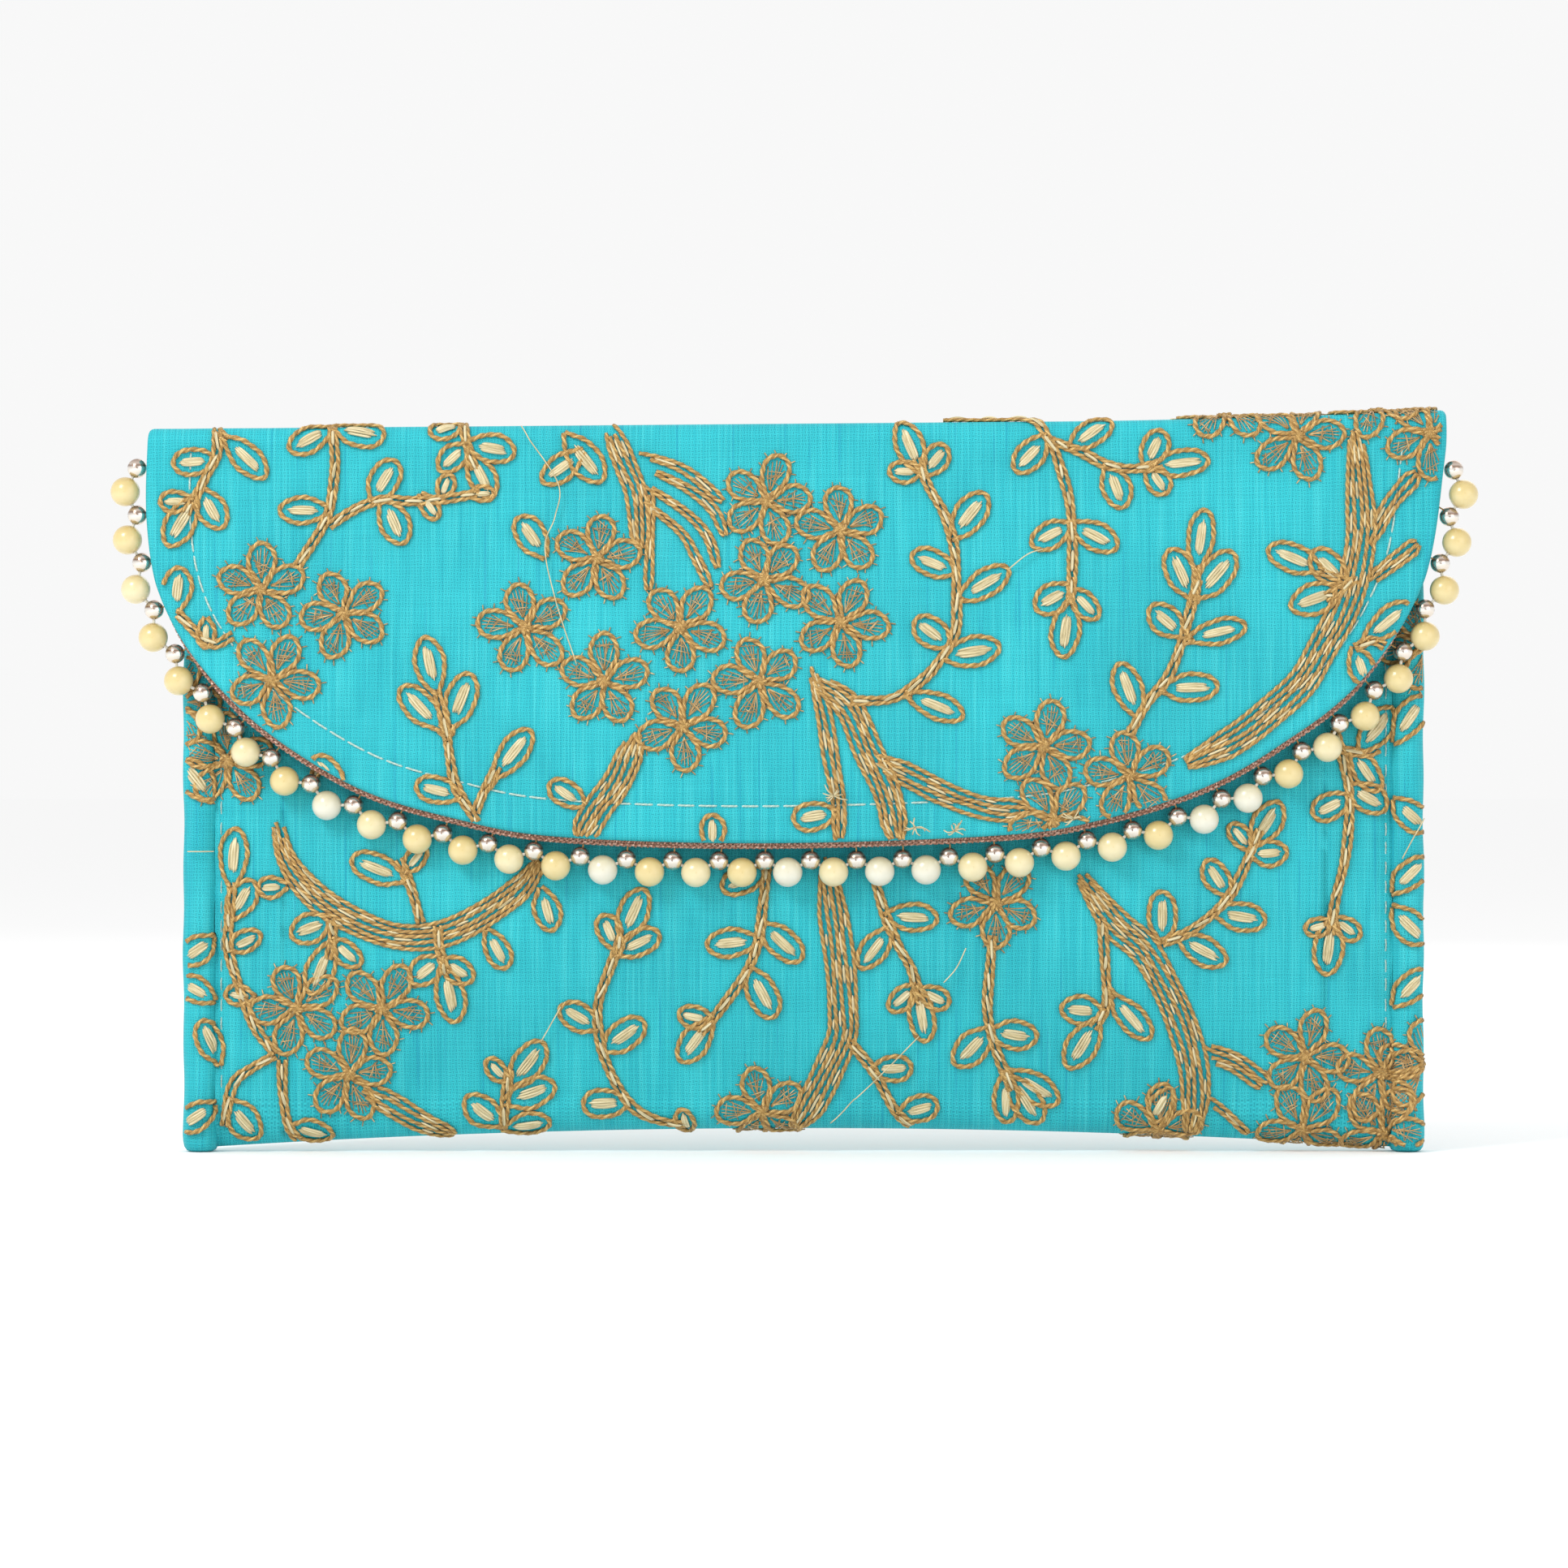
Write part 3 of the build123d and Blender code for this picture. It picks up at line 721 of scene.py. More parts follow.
class Embroidery:
    """Gold cord couched onto one surface, with cream satin stitch and fine thread."""

    def __init__(self, cloth, seed):
        self.cloth = cloth
        self.random = random.Random(seed)
        self.flowers, self.stems, self.leaves = Threads(), Threads(), Threads()
        self.cream, self.fine = Threads(), Threads()

    def lay(self, into, line, radius, lift, twist, plies=2, sides=8, flat=0.8, taper=False):
        """Lays a flat line onto the cloth, and leaves out what passes the cloth's edge."""
        line = np.asarray(line, float)
        inside = self.cloth.inside(line)
        path, normals = self.cloth.lifted(line, lift)
        phase = self.random.uniform(0, 6.28)
        ends = np.flatnonzero(np.diff(np.concatenate([[0], inside.astype(int), [0]])))
        for start, end in zip(ends[::2], ends[1::2]):
            if end - start > 2:
                cord = path[start:end], normals[start:end], radius
                into.add(*cord, twist, plies, sides, flat, phase, taper)

    def cord(self, into, points, lift=CORD_LIFT):
        line = spline(points, RING)
        wander = self.random.uniform(0, 6.28)
        run = np.arange(len(line)) * RING
        sway = 0.10 * np.sin(run / 2.3 + wander) + 0.07 * np.sin(run / 0.9 + 2 * wander)
        line = line + side_of(line) * sway[:, None]
        height = lift + 0.06 * np.sin(run / 1.7 + wander)
        self.lay(into, line, CORD, height, CORD_TWIST)

    def thread(self, points, radius, lift, proud=0.25):
        """A fine straight stitch that stands a little proud in its middle."""
        line = even(np.asarray(points, float), 0.8)
        rise = lift + proud * arch(len(line))
        self.lay(self.fine, line, radius, rise, 0, 1, 4, 1.0)

    def leaf(self, base, tip):
        """A teardrop loop of cord, filled with a spindle of cream satin stitches."""
        base, tip = np.asarray(base, float), np.asarray(tip, float)
        reach = tip - base
        length = float(np.linalg.norm(reach))
        along = reach / length
        beside = turned_left(along)
        half = min(LEAF_WIDTH / 2, length * 0.32) * self.random.uniform(0.88, 1.08)
        lean = self.random.uniform(-0.35, 0.35)
        loop = [
            base + along * a * length + beside * (b * half + lean * a * (1 - a))
            for a, b in LEAF_SHAPE
        ]
        self.cord(self.leaves, loop)
        count = 4
        inner = half - 0.75
        for k in range(count):
            offset = (k - (count - 1) / 2) / ((count - 1) / 2) * inner * 0.36
            start = 0.19 + self.random.uniform(0, 0.07) + 0.08 * abs(offset)
            end = 0.90 - self.random.uniform(0, 0.09) - 0.07 * abs(offset)
            line = []
            for share in np.linspace(start, end, 9):
                spread = math.sin(math.pi * min(max((share - 0.08) / 0.9, 0), 1))
                aside = offset * (0.35 + 0.65 * spread) + lean * share * (1 - share)
                line.append(base + along * share * length + beside * aside)
            swell = 0.45 * np.sin(np.linspace(0.15, math.pi - 0.15, 9))
            rise = 0.20 + swell * (1 - 0.45 * abs(offset))
            radius = CREAM * self.random.uniform(0.85, 1.1)
            self.lay(self.cream, line, radius, rise, 0, 1, 6, 0.9, True)

    def stem(self, points, cream=True, spread=0.62):
        """Two cords side by side, tied with cream between them."""
        line = spline(points, RING)
        side = side_of(line)
        run = np.arange(len(line)) * RING
        for sign in (-1, 1):
            weave = sign * spread * (1 + 0.18 * np.sin(run / 2.6 + self.random.uniform(0, 6)))
            height = CORD_LIFT + 0.05 * np.sin(run / 1.9)
            self.lay(self.stems, line + side * weave[:, None], CORD * 0.94, height, CORD_TWIST)
        if cream:
            at = 1.0
            while at < run[-1] - 1.5:
                i = int(at / RING)
                j = min(i + int(self.random.uniform(3.0, 4.6) / RING), len(line) - 1)
                sway = self.random.uniform(-0.35, 0.35)
                ends = [line[i] + side[i] * sway, line[j] - side[j] * sway]
                stitch = even(np.array(ends), 0.6)
                rise = 0.55 + 0.42 * arch(len(stitch))
                self.lay(self.cream, stitch, CREAM * 1.05, rise, 0, 1, 6, 0.8, True)
                at += self.random.uniform(4.4, 7.0)

    def sprig(self, points, tips):
        """A stem with a leaf at each tip, which springs from the stem a little nearer its root."""
        self.stem(points)
        line = spline(points, 0.5)
        for tip in tips:
            tip = np.asarray(tip, float)
            k = near(tip, line)
            gap = float(np.linalg.norm(line[k] - tip))
            k = max(k - int(min(gap * 0.55, 6.0) / 0.5), 0)
            base = line[k]
            reach = tip - base
            length = float(np.linalg.norm(reach))
            if length < 4.5:
                base = tip - reach / max(length, 0.1) * 6.0
                length = 6.0
            if length > LONGEST_LEAF:
                start = base
                base = tip - (tip - base) / length * LONGEST_LEAF
                middle = (start + base) / 2 + np.array([0.3, -0.3])
                self.stem([start, middle, base + (tip - base) * 0.06], False, 0.5)
            self.leaf(base, tip)

    def trunk(self, count, pitch, points):
        """Parallel cords that draw together at both ends, with cream showing between them."""
        line = spline(points, RING)
        side = side_of(line)
        share = np.linspace(0, 1, len(line))
        gather = 0.30 + 0.70 * np.clip(np.minimum(share * 5, (1 - share) * 9), 0, 1) ** 0.7
        run = np.arange(len(line)) * RING
        for k in range(count):
            place = (k - (count - 1) / 2) * pitch
            sway = 0.16 * np.sin(run / 4.1 + k * 1.9 + self.random.uniform(0, 2))
            offset = place * gather + sway
            first = int(self.random.uniform(0, 3.5) / RING) if abs(place) > 0.1 else 0
            height = CORD_LIFT + 0.05 * np.sin(run / 1.6 + k)
            cord = line + side * offset[:, None]
            self.lay(self.stems, cord[first:], CORD * 0.86, height[first:], CORD_TWIST)
        for k in range(count - 1):
            place = (k - (count - 2) / 2) * pitch
            at = self.random.uniform(1, 6)
            while at < run[-1] - 4:
                i = int(at / RING)
                j = min(i + int(self.random.uniform(2.5, 5.0) / RING), len(line) - 1)
                ends = np.array([line[k] + side[k] * place * gather[k] for k in (i, j)])
                self.lay(self.cream, even(ends, 0.7), CREAM * 0.95, 0.5, 0, 1, 5, 0.8, True)
                at += self.random.uniform(6.0, 15.0)

    def flower(self, centre, turn):
        """Cord petals with fine threads fanned inside each and short spikes outside."""
        centre = np.asarray(centre, float)
        half = PETAL_HALF
        for k in range(PETALS):
            along = heading(turn + k * 2 * math.pi / PETALS + self.random.uniform(-0.07, 0.07))
            beside = turned_left(along)
            long = PETAL * self.random.uniform(0.92, 1.05)
            loop = [centre + along * a * long + beside * b * half for a, b in PETAL_SHAPE]
            self.cord(self.flowers, loop)
            root = centre + along * 0.24 * long
            for spread in np.linspace(-0.9, 0.9, 6):
                end = centre + along * long * (0.90 - 0.22 * spread * spread)
                end = end + beside * half * 0.72 * spread
                bend = beside * self.random.uniform(-0.4, 0.4)
                self.thread([root + bend * 0.5, (root + end) / 2 + bend, end], FINE * 0.68, 0.16)
            for _ in range(4):
                a, b = self.random.uniform(0.35, 0.8), self.random.uniform(0.3, 0.7)
                low = centre + along * a * long - beside * b * half
                a += self.random.uniform(-0.15, 0.2)
                high = centre + along * a * long + beside * b * half
                self.thread([low, high], FINE * 0.6, 0.24)
            for place in np.linspace(-1.9, 1.9, 8):
                rim = centre + along * long * (0.60 + 0.40 * math.cos(place))
                rim = rim + beside * half * math.sin(place)
                out = along * math.cos(place) * 0.8 + beside * math.sin(place)
                out = out / np.linalg.norm(out)
                tilt = turned_left(out) * self.random.uniform(-0.5, 0.5)
                tip = rim + out * self.random.uniform(1.1, 1.6) + tilt
                self.thread([rim + out * 0.3, tip], FINE * 0.75, 0.2, 0.1)
        for k in range(PETALS):
            end = centre + 1.5 * heading(turn + 0.6 + k * 2.4)
            eye = [centre - (end - centre) * 0.8, centre + np.array([0.2, 0.1]), end]
            self.cord(self.flowers, eye, CORD_LIFT + 0.35)

    def loose(self, points):
        """A loose cream thread left between two motifs."""
        line = spline(points, 0.8)
        rise = 0.9 + 0.5 * arch(len(line))
        self.lay(self.cream, line, 0.13, rise, 0, 1, 5, 1.0)

    def knot(self, place):
        """Frayed ends of cream thread left at the flap's edge."""
        place = np.asarray(place, float)
        for _ in range(9):
            angle = self.random.uniform(0, 2 * math.pi)
            end = place + self.random.uniform(1.2, 3.2) * np.array([math.cos(angle), 0.8 * math.sin(angle)])
            bend = (place + end) / 2 + np.array([0.4, 0.5]) * self.random.uniform(-1, 1)
            line = spline([place, bend, end], 0.4)
            rise = 0.9 + 0.7 * arch(len(line))
            self.lay(self.cream, line, 0.14, rise, 0, 1, 5, 1.0)

    def motifs(self, flowers, sprigs, trunks, leaves=(), jumps=()):
        for number, centre in enumerate(flowers):
            self.flower(centre, math.pi / 2 + 0.37 * number)
        for points, tips in sprigs:
            self.sprig(points, tips)
        for base, tip in leaves:
            self.leaf(base, tip)
        for count, pitch, points in trunks:
            self.trunk(count, pitch, points)
        for points in jumps:
            self.loose(points)

    def pieces(self, word):
        made = []
        for threads, part, material, slot in (
            (self.flowers, "flowers", gold_cord, "gold_cord"),
            (self.stems, "stems", gold_cord, "gold_cord"),
            (self.leaves, "leaves", gold_cord, "gold_cord"),
            (self.cream, "satin_stitch", cream_thread, "cream_thread"),
            (self.fine, "fine_threads", fine_gold, "gold_cord"),
        ):
            if threads.count:
                piece = threads.piece(f"{word}_{part}", material)
                made.append(piece)
        return made

# Where the embroidery lies, in millimetres across and up: centres of flowers; stems with
# the tips of their leaves; trunks with their number of cords and pitch; single leaves from
# base to tip; loose threads. HIDDEN is the front wall behind the flap.
FLAP = dict(
    flowers=[
        (-110.5, 115), (-93.5, 110), (-108, 96.5), (-42, 121), (-56.5, 107), (-25, 107),
        (-7.5, 132.5), (7.5, 126.5), (-8, 116.5), (7.5, 108), (-40.5, 96), (-9, 96), (-24.5, 87),
        (48.5, 83), (66, 77), (50.5, 68), (100.5, 144.5), (86, 152.5), (117, 153), (127.5, 144),
    ],
    sprigs=[
        ([(-119.5, 148.5), (-119.5, 143), (-121.5, 139), (-124, 134), (-126, 131)], [(-128.5, 141.5),
          (-109.5, 138.5), (-131, 133.5), (-118.5, 128), (-129.5, 124.5)]),
        ([(-96, 148.5), (-95.5, 141), (-96, 133.5), (-97.5, 129), (-100, 124.5), (-103, 119.5)],
          [(-104.5, 144), (-85.5, 146.5), (-106.5, 131.5)]),
        ([(-96.5, 128), (-90.5, 132), (-85.5, 133.5), (-80.5, 133), (-73.5, 133.5), (-66.5, 134.5)],
          [(-83, 141.5), (-81.5, 124.5), (-72, 138.5), (-74.5, 129.5), (-63, 134.5)]),
        ([(-69.5, 149.5), (-68.5, 145), (-67, 139.5)], [(-74, 139.5), (-63.5, 134), (-59, 143),
          (-76, 147)]),
        ([(-128, 110.5), (-121, 104), (-116, 105.5)], [(-127, 119.5), (-121.5, 103)]),
        ([(-65, 64), (-66.5, 68), (-69, 72), (-71, 76.5), (-73, 90)], [(-77, 105), (-81.5, 95),
          (-67.5, 97.5), (-78.5, 75)]),
        ([(-66.5, 69.5), (-64, 75.5), (-62, 79)], [(-55.5, 86)]),
        ([(9, 92), (17.5, 92.5), (23.5, 96), (27, 99.5), (30.5, 105.5), (31, 113), (30.5, 123),
          (28.5, 130), (25.5, 135), (23, 141)], [(32, 89), (39.5, 103), (22.5, 108.5), (41.5, 118.5),
          (22, 121.5), (37, 133.5), (17.5, 138.5), (29, 143.5), (19.5, 148.5)]),
        ([(28.5, 151), (44.5, 150.5), (50, 144.5), (52, 139.5), (54, 132.5), (54.5, 125.5),
          (54.5, 117.5), (54, 111.5)], [(43, 138.5), (46.5, 123.5), (63.5, 123), (47, 111),
          (59.5, 109), (52.5, 101)]),
        ([(50.5, 144.5), (56.5, 142), (61.5, 139.5), (67, 138.5), (73, 139.5)], [(62.5, 148.5),
          (65, 131), (73, 146), (74, 133.5), (82.5, 140)]),
        ([(66, 85.5), (69.5, 91.5), (73.5, 96.5), (76.5, 103.5), (78.5, 110.5), (80, 116.5)],
          [(81.5, 130), (74.5, 122.5), (87.5, 121.5), (89.5, 107.5), (70.5, 111), (84, 95),
          (64, 99.5)]),
        ([(112, 103), (115.5, 104.5), (118.5, 103)], [(123, 111.5), (114.5, 95.5)]),
        ([(112.5, 116.5), (108.5, 114), (106, 113)], [(94.5, 122.5), (103.5, 121.5), (99, 111)]),
    ],
    trunks=[
        (4, 1.3, [(-40, 149), (-36, 139.5), (-34, 134), (-33, 123)]),
        (2, 1.2, [(-31.5, 136.5), (-31, 130), (-31.5, 114.5)]),
        (2, 1.3, [(-34, 142.5), (-27, 140.5), (-22.5, 138), (-16.5, 132.5)]),
        (2, 1.3, [(-32, 139.5), (-24, 135.5), (-18.5, 131), (-16, 125.5)]),
        (2, 1.2, [(-32.5, 136), (-24, 130.5), (-19.5, 125.5), (-17.5, 119)]),
        (2, 1.2, [(-32.5, 132.5), (-25, 126.5), (-22, 121.5), (-19, 115)]),
        (3, 1.3, [(1.5, 99), (4, 89.5), (5.5, 80.5), (7, 72), (7, 63.5)]),
        (5, 1.3, [(2, 96.5), (9, 91), (13, 82), (17, 73), (19, 63.5)]),
        (4, 1.4, [(14, 80.5), (25, 75), (32, 72), (39, 70), (45.5, 70)]),
        (5, 1.3, [(-33.5, 85.5), (-37.5, 76), (-42, 70), (-45.5, 64)]),
        (5, 1.4, [(112, 145), (113, 136), (113.5, 125.5), (111.5, 115.5), (109, 109), (105.5, 103),
          (101.5, 96.5), (96, 91), (88.5, 85), (77.5, 79.5)]),
        (3, 1.4, [(115, 123), (119.5, 130.5), (125, 136)]),
        (3, 1.3, [(115, 116), (120, 119.5), (125, 123)]),
    ],
    leaves=[
        ((-93.5, 74), (-99.5, 80.5)), ((6.5, 69.5), (-2, 68)), ((-18.5, 62), (-18.5, 69)),
        ((-44.5, 71), (-51.5, 75.5)), ((-45, 143), (-53, 137)), ((-48.5, 146.5), (-41, 137)),
        ((-52.5, 121.5), (-58, 129.5)),
    ],
    jumps=[
        [(-57.5, 148), (-50, 136.5), (-50.5, 129.5), (-52.5, 123), (-50, 111.5), (-46, 99.5)],
        [(41.5, 118.5), (45.5, 121.5), (48.5, 122.5)],
    ],
)
FRONT = dict(
    flowers=[
        (-117.5, 80), (-103.5, 29.5), (-86, 29.5), (-93, 16), (-8.5, 8.5), (39, 51), (102.5, 19.5),
        (118, 16), (102, 5.5), (118.5, 5), (72.5, 5),
    ],
    sprigs=[
        ([(-108, 20), (-112.5, 26.5), (-115.5, 34.5), (-117.5, 42), (-117, 51)], [(-116, 66),
          (-112.5, 55.5), (-111, 44.5), (-118, 32.5)]),
        ([(-108, 20), (-113, 17), (-116.5, 14), (-118.5, 6.5)], [(-111.5, 4)]),
        ([(-106.5, 19), (-106.5, 12.5), (-105.5, 7), (-103.5, 3)], [(-96.5, 3.5)]),
        ([(-78, 47), (-80, 54.5), (-82.5, 60)], [(-92, 60), (-77, 62.5)]),
        ([(-96.5, 48), (-96, 44.5), (-97, 39.5)], [(-104.5, 44.5), (-90.5, 38.5), (-100.5, 32.5)]),
        ([(-74.5, 46.5), (-74, 41.5), (-73, 36.5)], [(-80, 35), (-67.5, 35.5), (-71, 27)]),
        ([(-24, 5.5), (-30, 7), (-35.5, 10), (-39, 15.5), (-41.5, 23), (-42, 30), (-39.5, 37.5),
          (-37, 44.5)], [(-32.5, 54), (-41, 48.5), (-29.5, 45), (-49.5, 30), (-32.5, 27), (-45, 10),
          (-25, 9)]),
        ([(-61.5, 5), (-61, 10.5), (-60, 17)], [(-53, 22.5), (-64.5, 19), (-51, 14), (-69, 11),
          (-52, 6.5)]),
        ([(-7.5, 59.5), (-8.5, 48), (-10, 41), (-12.5, 35.5), (-17, 29.5), (-21, 24.5)], [(-16.5, 54),
          (-0.5, 39.5), (-19.5, 42.5), (-6, 28), (-25.5, 28.5), (-25, 19)]),
        ([(13.5, 59.5), (16.5, 49), (19.5, 42), (22, 37.5), (24, 30.5)], [(27, 48), (11.5, 38),
          (17.5, 29.5), (29.5, 30.5), (25, 23)]),
        ([(9.5, 23), (14, 17), (18, 10), (22, 5.5)], [(22, 17.5), (27.5, 10)]),
        ([(38.5, 44.5), (37.5, 32.5), (38, 25.5), (40, 19), (43, 13)], [(47.5, 23.5), (31, 18),
          (52, 10.5), (41.5, 6.5), (48.5, 6.5)]),
        ([(60.5, 48), (61.5, 38.5), (61.5, 30), (59, 25.5)], [(52.5, 29.5), (70.5, 23.5),
          (54, 17.5)]),
        ([(73, 43), (79, 45.5), (85.5, 51), (89, 56.5), (91.5, 62.5), (93, 66)], [(97, 71.5),
          (87, 67), (98.5, 61.5), (82, 59.5), (94, 47.5), (73, 53.5), (86, 39)]),
        ([(108.5, 86.5), (111, 76.5), (111.5, 69), (110.5, 60), (108.5, 51), (107.5, 44.5)],
          [(104, 69), (119, 70.5), (102.5, 45.5), (113.5, 44), (106.5, 36.5)]),
        ([(109.5, 82.5), (115, 81.5), (117.5, 82.5)], [(120.5, 91), (117.5, 74)]),
    ],
    trunks=[
        (5, 1.2, [(-107.5, 67.5), (-105.5, 60), (-100, 53), (-93, 48), (-84, 44.5), (-75, 44.5),
          (-67, 47.5), (-58.5, 53.5), (-53.5, 59.5)]),
        (4, 1.3, [(-90, 13), (-80.5, 8), (-71.5, 3.5)]),
        (5, 1.4, [(4.5, 60.5), (7, 42), (8, 30), (8, 24), (5.5, 18), (2, 11), (-2, 4.5)]),
        (5, 1.4, [(56, 57), (63.5, 47), (69, 42), (73.5, 34.5), (77, 27), (79.5, 18), (80, 10),
          (79, 4.5)]),
        (2, 1.4, [(81.5, 22), (88.5, 19.5), (95, 14.5)]),
        (2, 1.3, [(81.5, 19.5), (87.5, 17.5), (93.5, 13.5)]),
        (2, 1.3, [(81.5, 11.5), (86.5, 8.5), (91, 4.5)]),
    ],
    leaves=[
        ((-105.5, 54.5), (-111.5, 54)), ((-64.5, 45.5), (-60.5, 38)), ((-53.5, 54), (-51, 45.5)),
        ((75, 13), (71, 7)), ((-120.5, 44), (-127, 39)), ((-120.8, 31), (-127.2, 35)), ((-120.5, 10),
        (-127.2, 5)), ((-121, 72), (-127, 80)), ((-119.5, 18), (-123, 27)), ((120.5, 53), (127, 60)),
        ((120.5, 50), (127, 43)), ((121, 30), (127, 37)), ((121, 84), (126.5, 93)), ((121, 72),
        (127, 66)),
    ],
    jumps=[
        [(-49.5, 30), (-51.5, 26.5), (-53.5, 23)],
        [(33, 42), (31, 38), (28.5, 35)],
        [(23.5, 24), (15, 15.5), (5.5, 6.5)],
        [(-127, 61.5), (-124, 61.5), (-120.5, 61.5)],
        [(126.5, 69), (124.5, 64.5), (122.5, 60)],
    ],
)
HIDDEN = dict(
    flowers=[
        (-60, 110), (-44, 118), (-52, 96), (60, 104), (76, 112), (20, 84), (-128, 92), (127, 18),
        (127, 104), (-127, 120),
    ],
    sprigs=[
        ([(-20, 76), (-12, 88), (-8, 100), (-12, 114), (-20, 126)], [(-30, 92), (0, 96), (-22, 106),
          (4, 116), (-26, 134)]),
        ([(96, 84), (98, 98), (94, 110), (98, 122)], [(108, 96), (86, 106), (108, 116), (102, 134)]),
        ([(-100, 76), (-96, 90), (-98, 104), (-94, 118)], [(-110, 92), (-86, 98), (-108, 110),
          (-92, 130)]),
        ([(36, 92), (44, 100), (48, 112), (44, 126)], [(34, 108), (58, 124), (34, 122), (46, 136)]),
    ],
    trunks=[(5, 1.4, [(6, 64), (4, 82), (10, 100), (20, 114), (34, 122)])],
)
BACK = dict(
    flowers=[
        (-96, 96), (-80, 104), (-88, 82), (-10, 112), (6, 106), (-2, 94), (14, 90), (84, 60),
        (100, 54), (90, 44), (-60, 30), (-44, 36), (60, 118), (76, 124), (-110, 20), (30, 22),
    ],
    sprigs=[
        ([(-118, 60), (-108, 66), (-100, 62), (-90, 66), (-80, 62)], [(-110, 76), (-102, 52),
          (-94, 76), (-84, 54), (-70, 66)]),
        ([(-60, 44), (-56, 58), (-60, 72), (-54, 86), (-56, 100)], [(-70, 60), (-46, 64), (-70, 80),
          (-44, 84), (-64, 108), (-50, 112)]),
        ([(-30, 10), (-26, 24), (-30, 38), (-24, 52), (-26, 66)], [(-38, 22), (-16, 28), (-40, 42),
          (-14, 50), (-36, 64), (-24, 78)]),
        ([(34, 136), (38, 122), (34, 108), (40, 94), (38, 80)], [(24, 124), (48, 118), (24, 104),
          (50, 94), (30, 80), (40, 68)]),
        ([(60, 104), (66, 92), (62, 80), (68, 70)], [(52, 90), (76, 88), (52, 76), (72, 60)]),
        ([(110, 140), (108, 126), (112, 112), (106, 100), (108, 86)], [(98, 130), (118, 118),
          (98, 112), (118, 98), (96, 92), (110, 74)]),
        ([(110, 36), (106, 24), (112, 12)], [(98, 28), (118, 26), (100, 14), (118, 6)]),
        ([(-90, 140), (-84, 130), (-88, 120)], [(-98, 132), (-74, 134), (-98, 118), (-80, 114)]),
        ([(60, 8), (58, 20), (62, 32), (56, 42)], [(48, 18), (70, 24), (50, 34), (54, 54)]),
        ([(-10, 136), (-16, 128), (-12, 122)], [(-26, 134), (-2, 130), (-24, 120)]),
    ],
    trunks=[
        (5, 1.4, [(-78, 8), (-84, 22), (-96, 34), (-104, 48), (-100, 62), (-92, 74)]),
        (5, 1.4, [(6, 6), (12, 24), (8, 44), (14, 62), (8, 80)]),
        (4, 1.3, [(12, 50), (26, 44), (40, 46), (54, 56), (72, 58)]),
        (5, 1.4, [(-40, 140), (-44, 126), (-36, 112), (-24, 104), (-12, 104)]),
        (4, 1.3, [(88, 140), (90, 126), (84, 112), (88, 96), (84, 78), (86, 68)]),
    ],
)
KNOTS = [(22.5, 66.5), (30.5, 65.8), (54.5, 68.3), (6, 73)]


# ------------------------------------------------------------------ cloth pieces
def across_columns(half, step):
    """Columns from side to side, closer together beside the hems."""
    inner = np.arange(0, half - 14, step)
    outer = np.linspace(half - 14, half, 15)
    right = np.concatenate([inner, outer])
    return np.concatenate([-right[:0:-1], right])


FACING = 13.0
BOTTOM_ROUND = 4.6
FLAP_TURN = 5.5


def pouch_cloth():
    """Front wall and bottom fold: the mouth's facing, its turned edge, the wall and the U."""
    x = across_columns(PANEL_HALF + 0.5, 1.5)[None, :]
    rim = 1.1
    rows, run = [], []
    facing = np.linspace(MOUTH - FACING, MOUTH - rim, 9)[:, None]
    rows.append(lifted(front_point, x + 0 * facing, facing + 0 * x, -2 * rim + 0 * x * facing)[0])
    run.append(2 * MOUTH - facing)
    turn = np.linspace(0, math.pi, 7)[1:-1, None]
    height, inward = MOUTH - rim + rim * np.sin(turn), -rim * (1 + np.cos(turn))
    rows.append(lifted(front_point, x + 0 * turn, height + 0 * x, inward + 0 * x)[0])
    run.append(MOUTH + rim * (1 - turn / math.pi * 2) + 0 * turn)
    wall = np.linspace(MOUTH - rim, BOTTOM_TURN, 96)[:, None]
    rows.append(front_point(x + 0 * wall, wall + 0 * x))
    run.append(wall)
    angle = np.linspace(0, math.pi, 26)[1:, None]
    rows.append(around_bottom(x + 0 * angle, angle + 0 * x))
    run.append(BOTTOM_TURN - angle * BOTTOM_ROUND)
    points = np.vstack(rows)
    run = np.vstack(run) + 0 * x
    uv = np.stack([x + 0 * run, run], -1)
    piece = grid_piece("pouch_cloth", points, uv, raw_silk)
    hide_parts("front_panel", "bottom_fold")
    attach(piece, "pouch")


BACK_END_RUN = HEIGHT + BACK_ROUND * (math.pi / 2 - 1) + FOLD_BACK - BACK_ROUND + FOLD_MIDDLE


def back_cloth():
    """Back wall, running over the top fold to its middle."""
    share = np.linspace(0, 1, 120)[:, None]
    h = BOTTOM_TURN + (BACK_END_RUN - BOTTOM_TURN) * share
    x = across_columns(PANEL_HALF + 0.5, 1.5)[None, :]
    flare = eased((h - HEIGHT + 8) / 8)
    wide = np.where(x < 0, -FOLD_LEFT, FOLD_RIGHT) / (PANEL_HALF + 0.5)
    spread = x * (1 + (wide - 1) * flare)
    points = back_point(spread, h + 0 * x)
    points[-4:, :, 2] -= 0.3 * np.linspace(0, 1, 4)[:, None]
    uv = np.stack([spread, -h + 0 * x], -1)
    piece = grid_piece("back_cloth", points, uv, raw_silk, flip=True)
    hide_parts("back_panel")
    with_back(piece)


def at(across, forward, up):
    """One local point, in metres in the frame."""
    return tuple(to_world([across, forward, up]).tolist())


def with_flap(piece):
    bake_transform(piece)


def with_back(piece):
    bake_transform(piece)


EDGE_INSET = 1.0
EDGE_OUT = 1.5


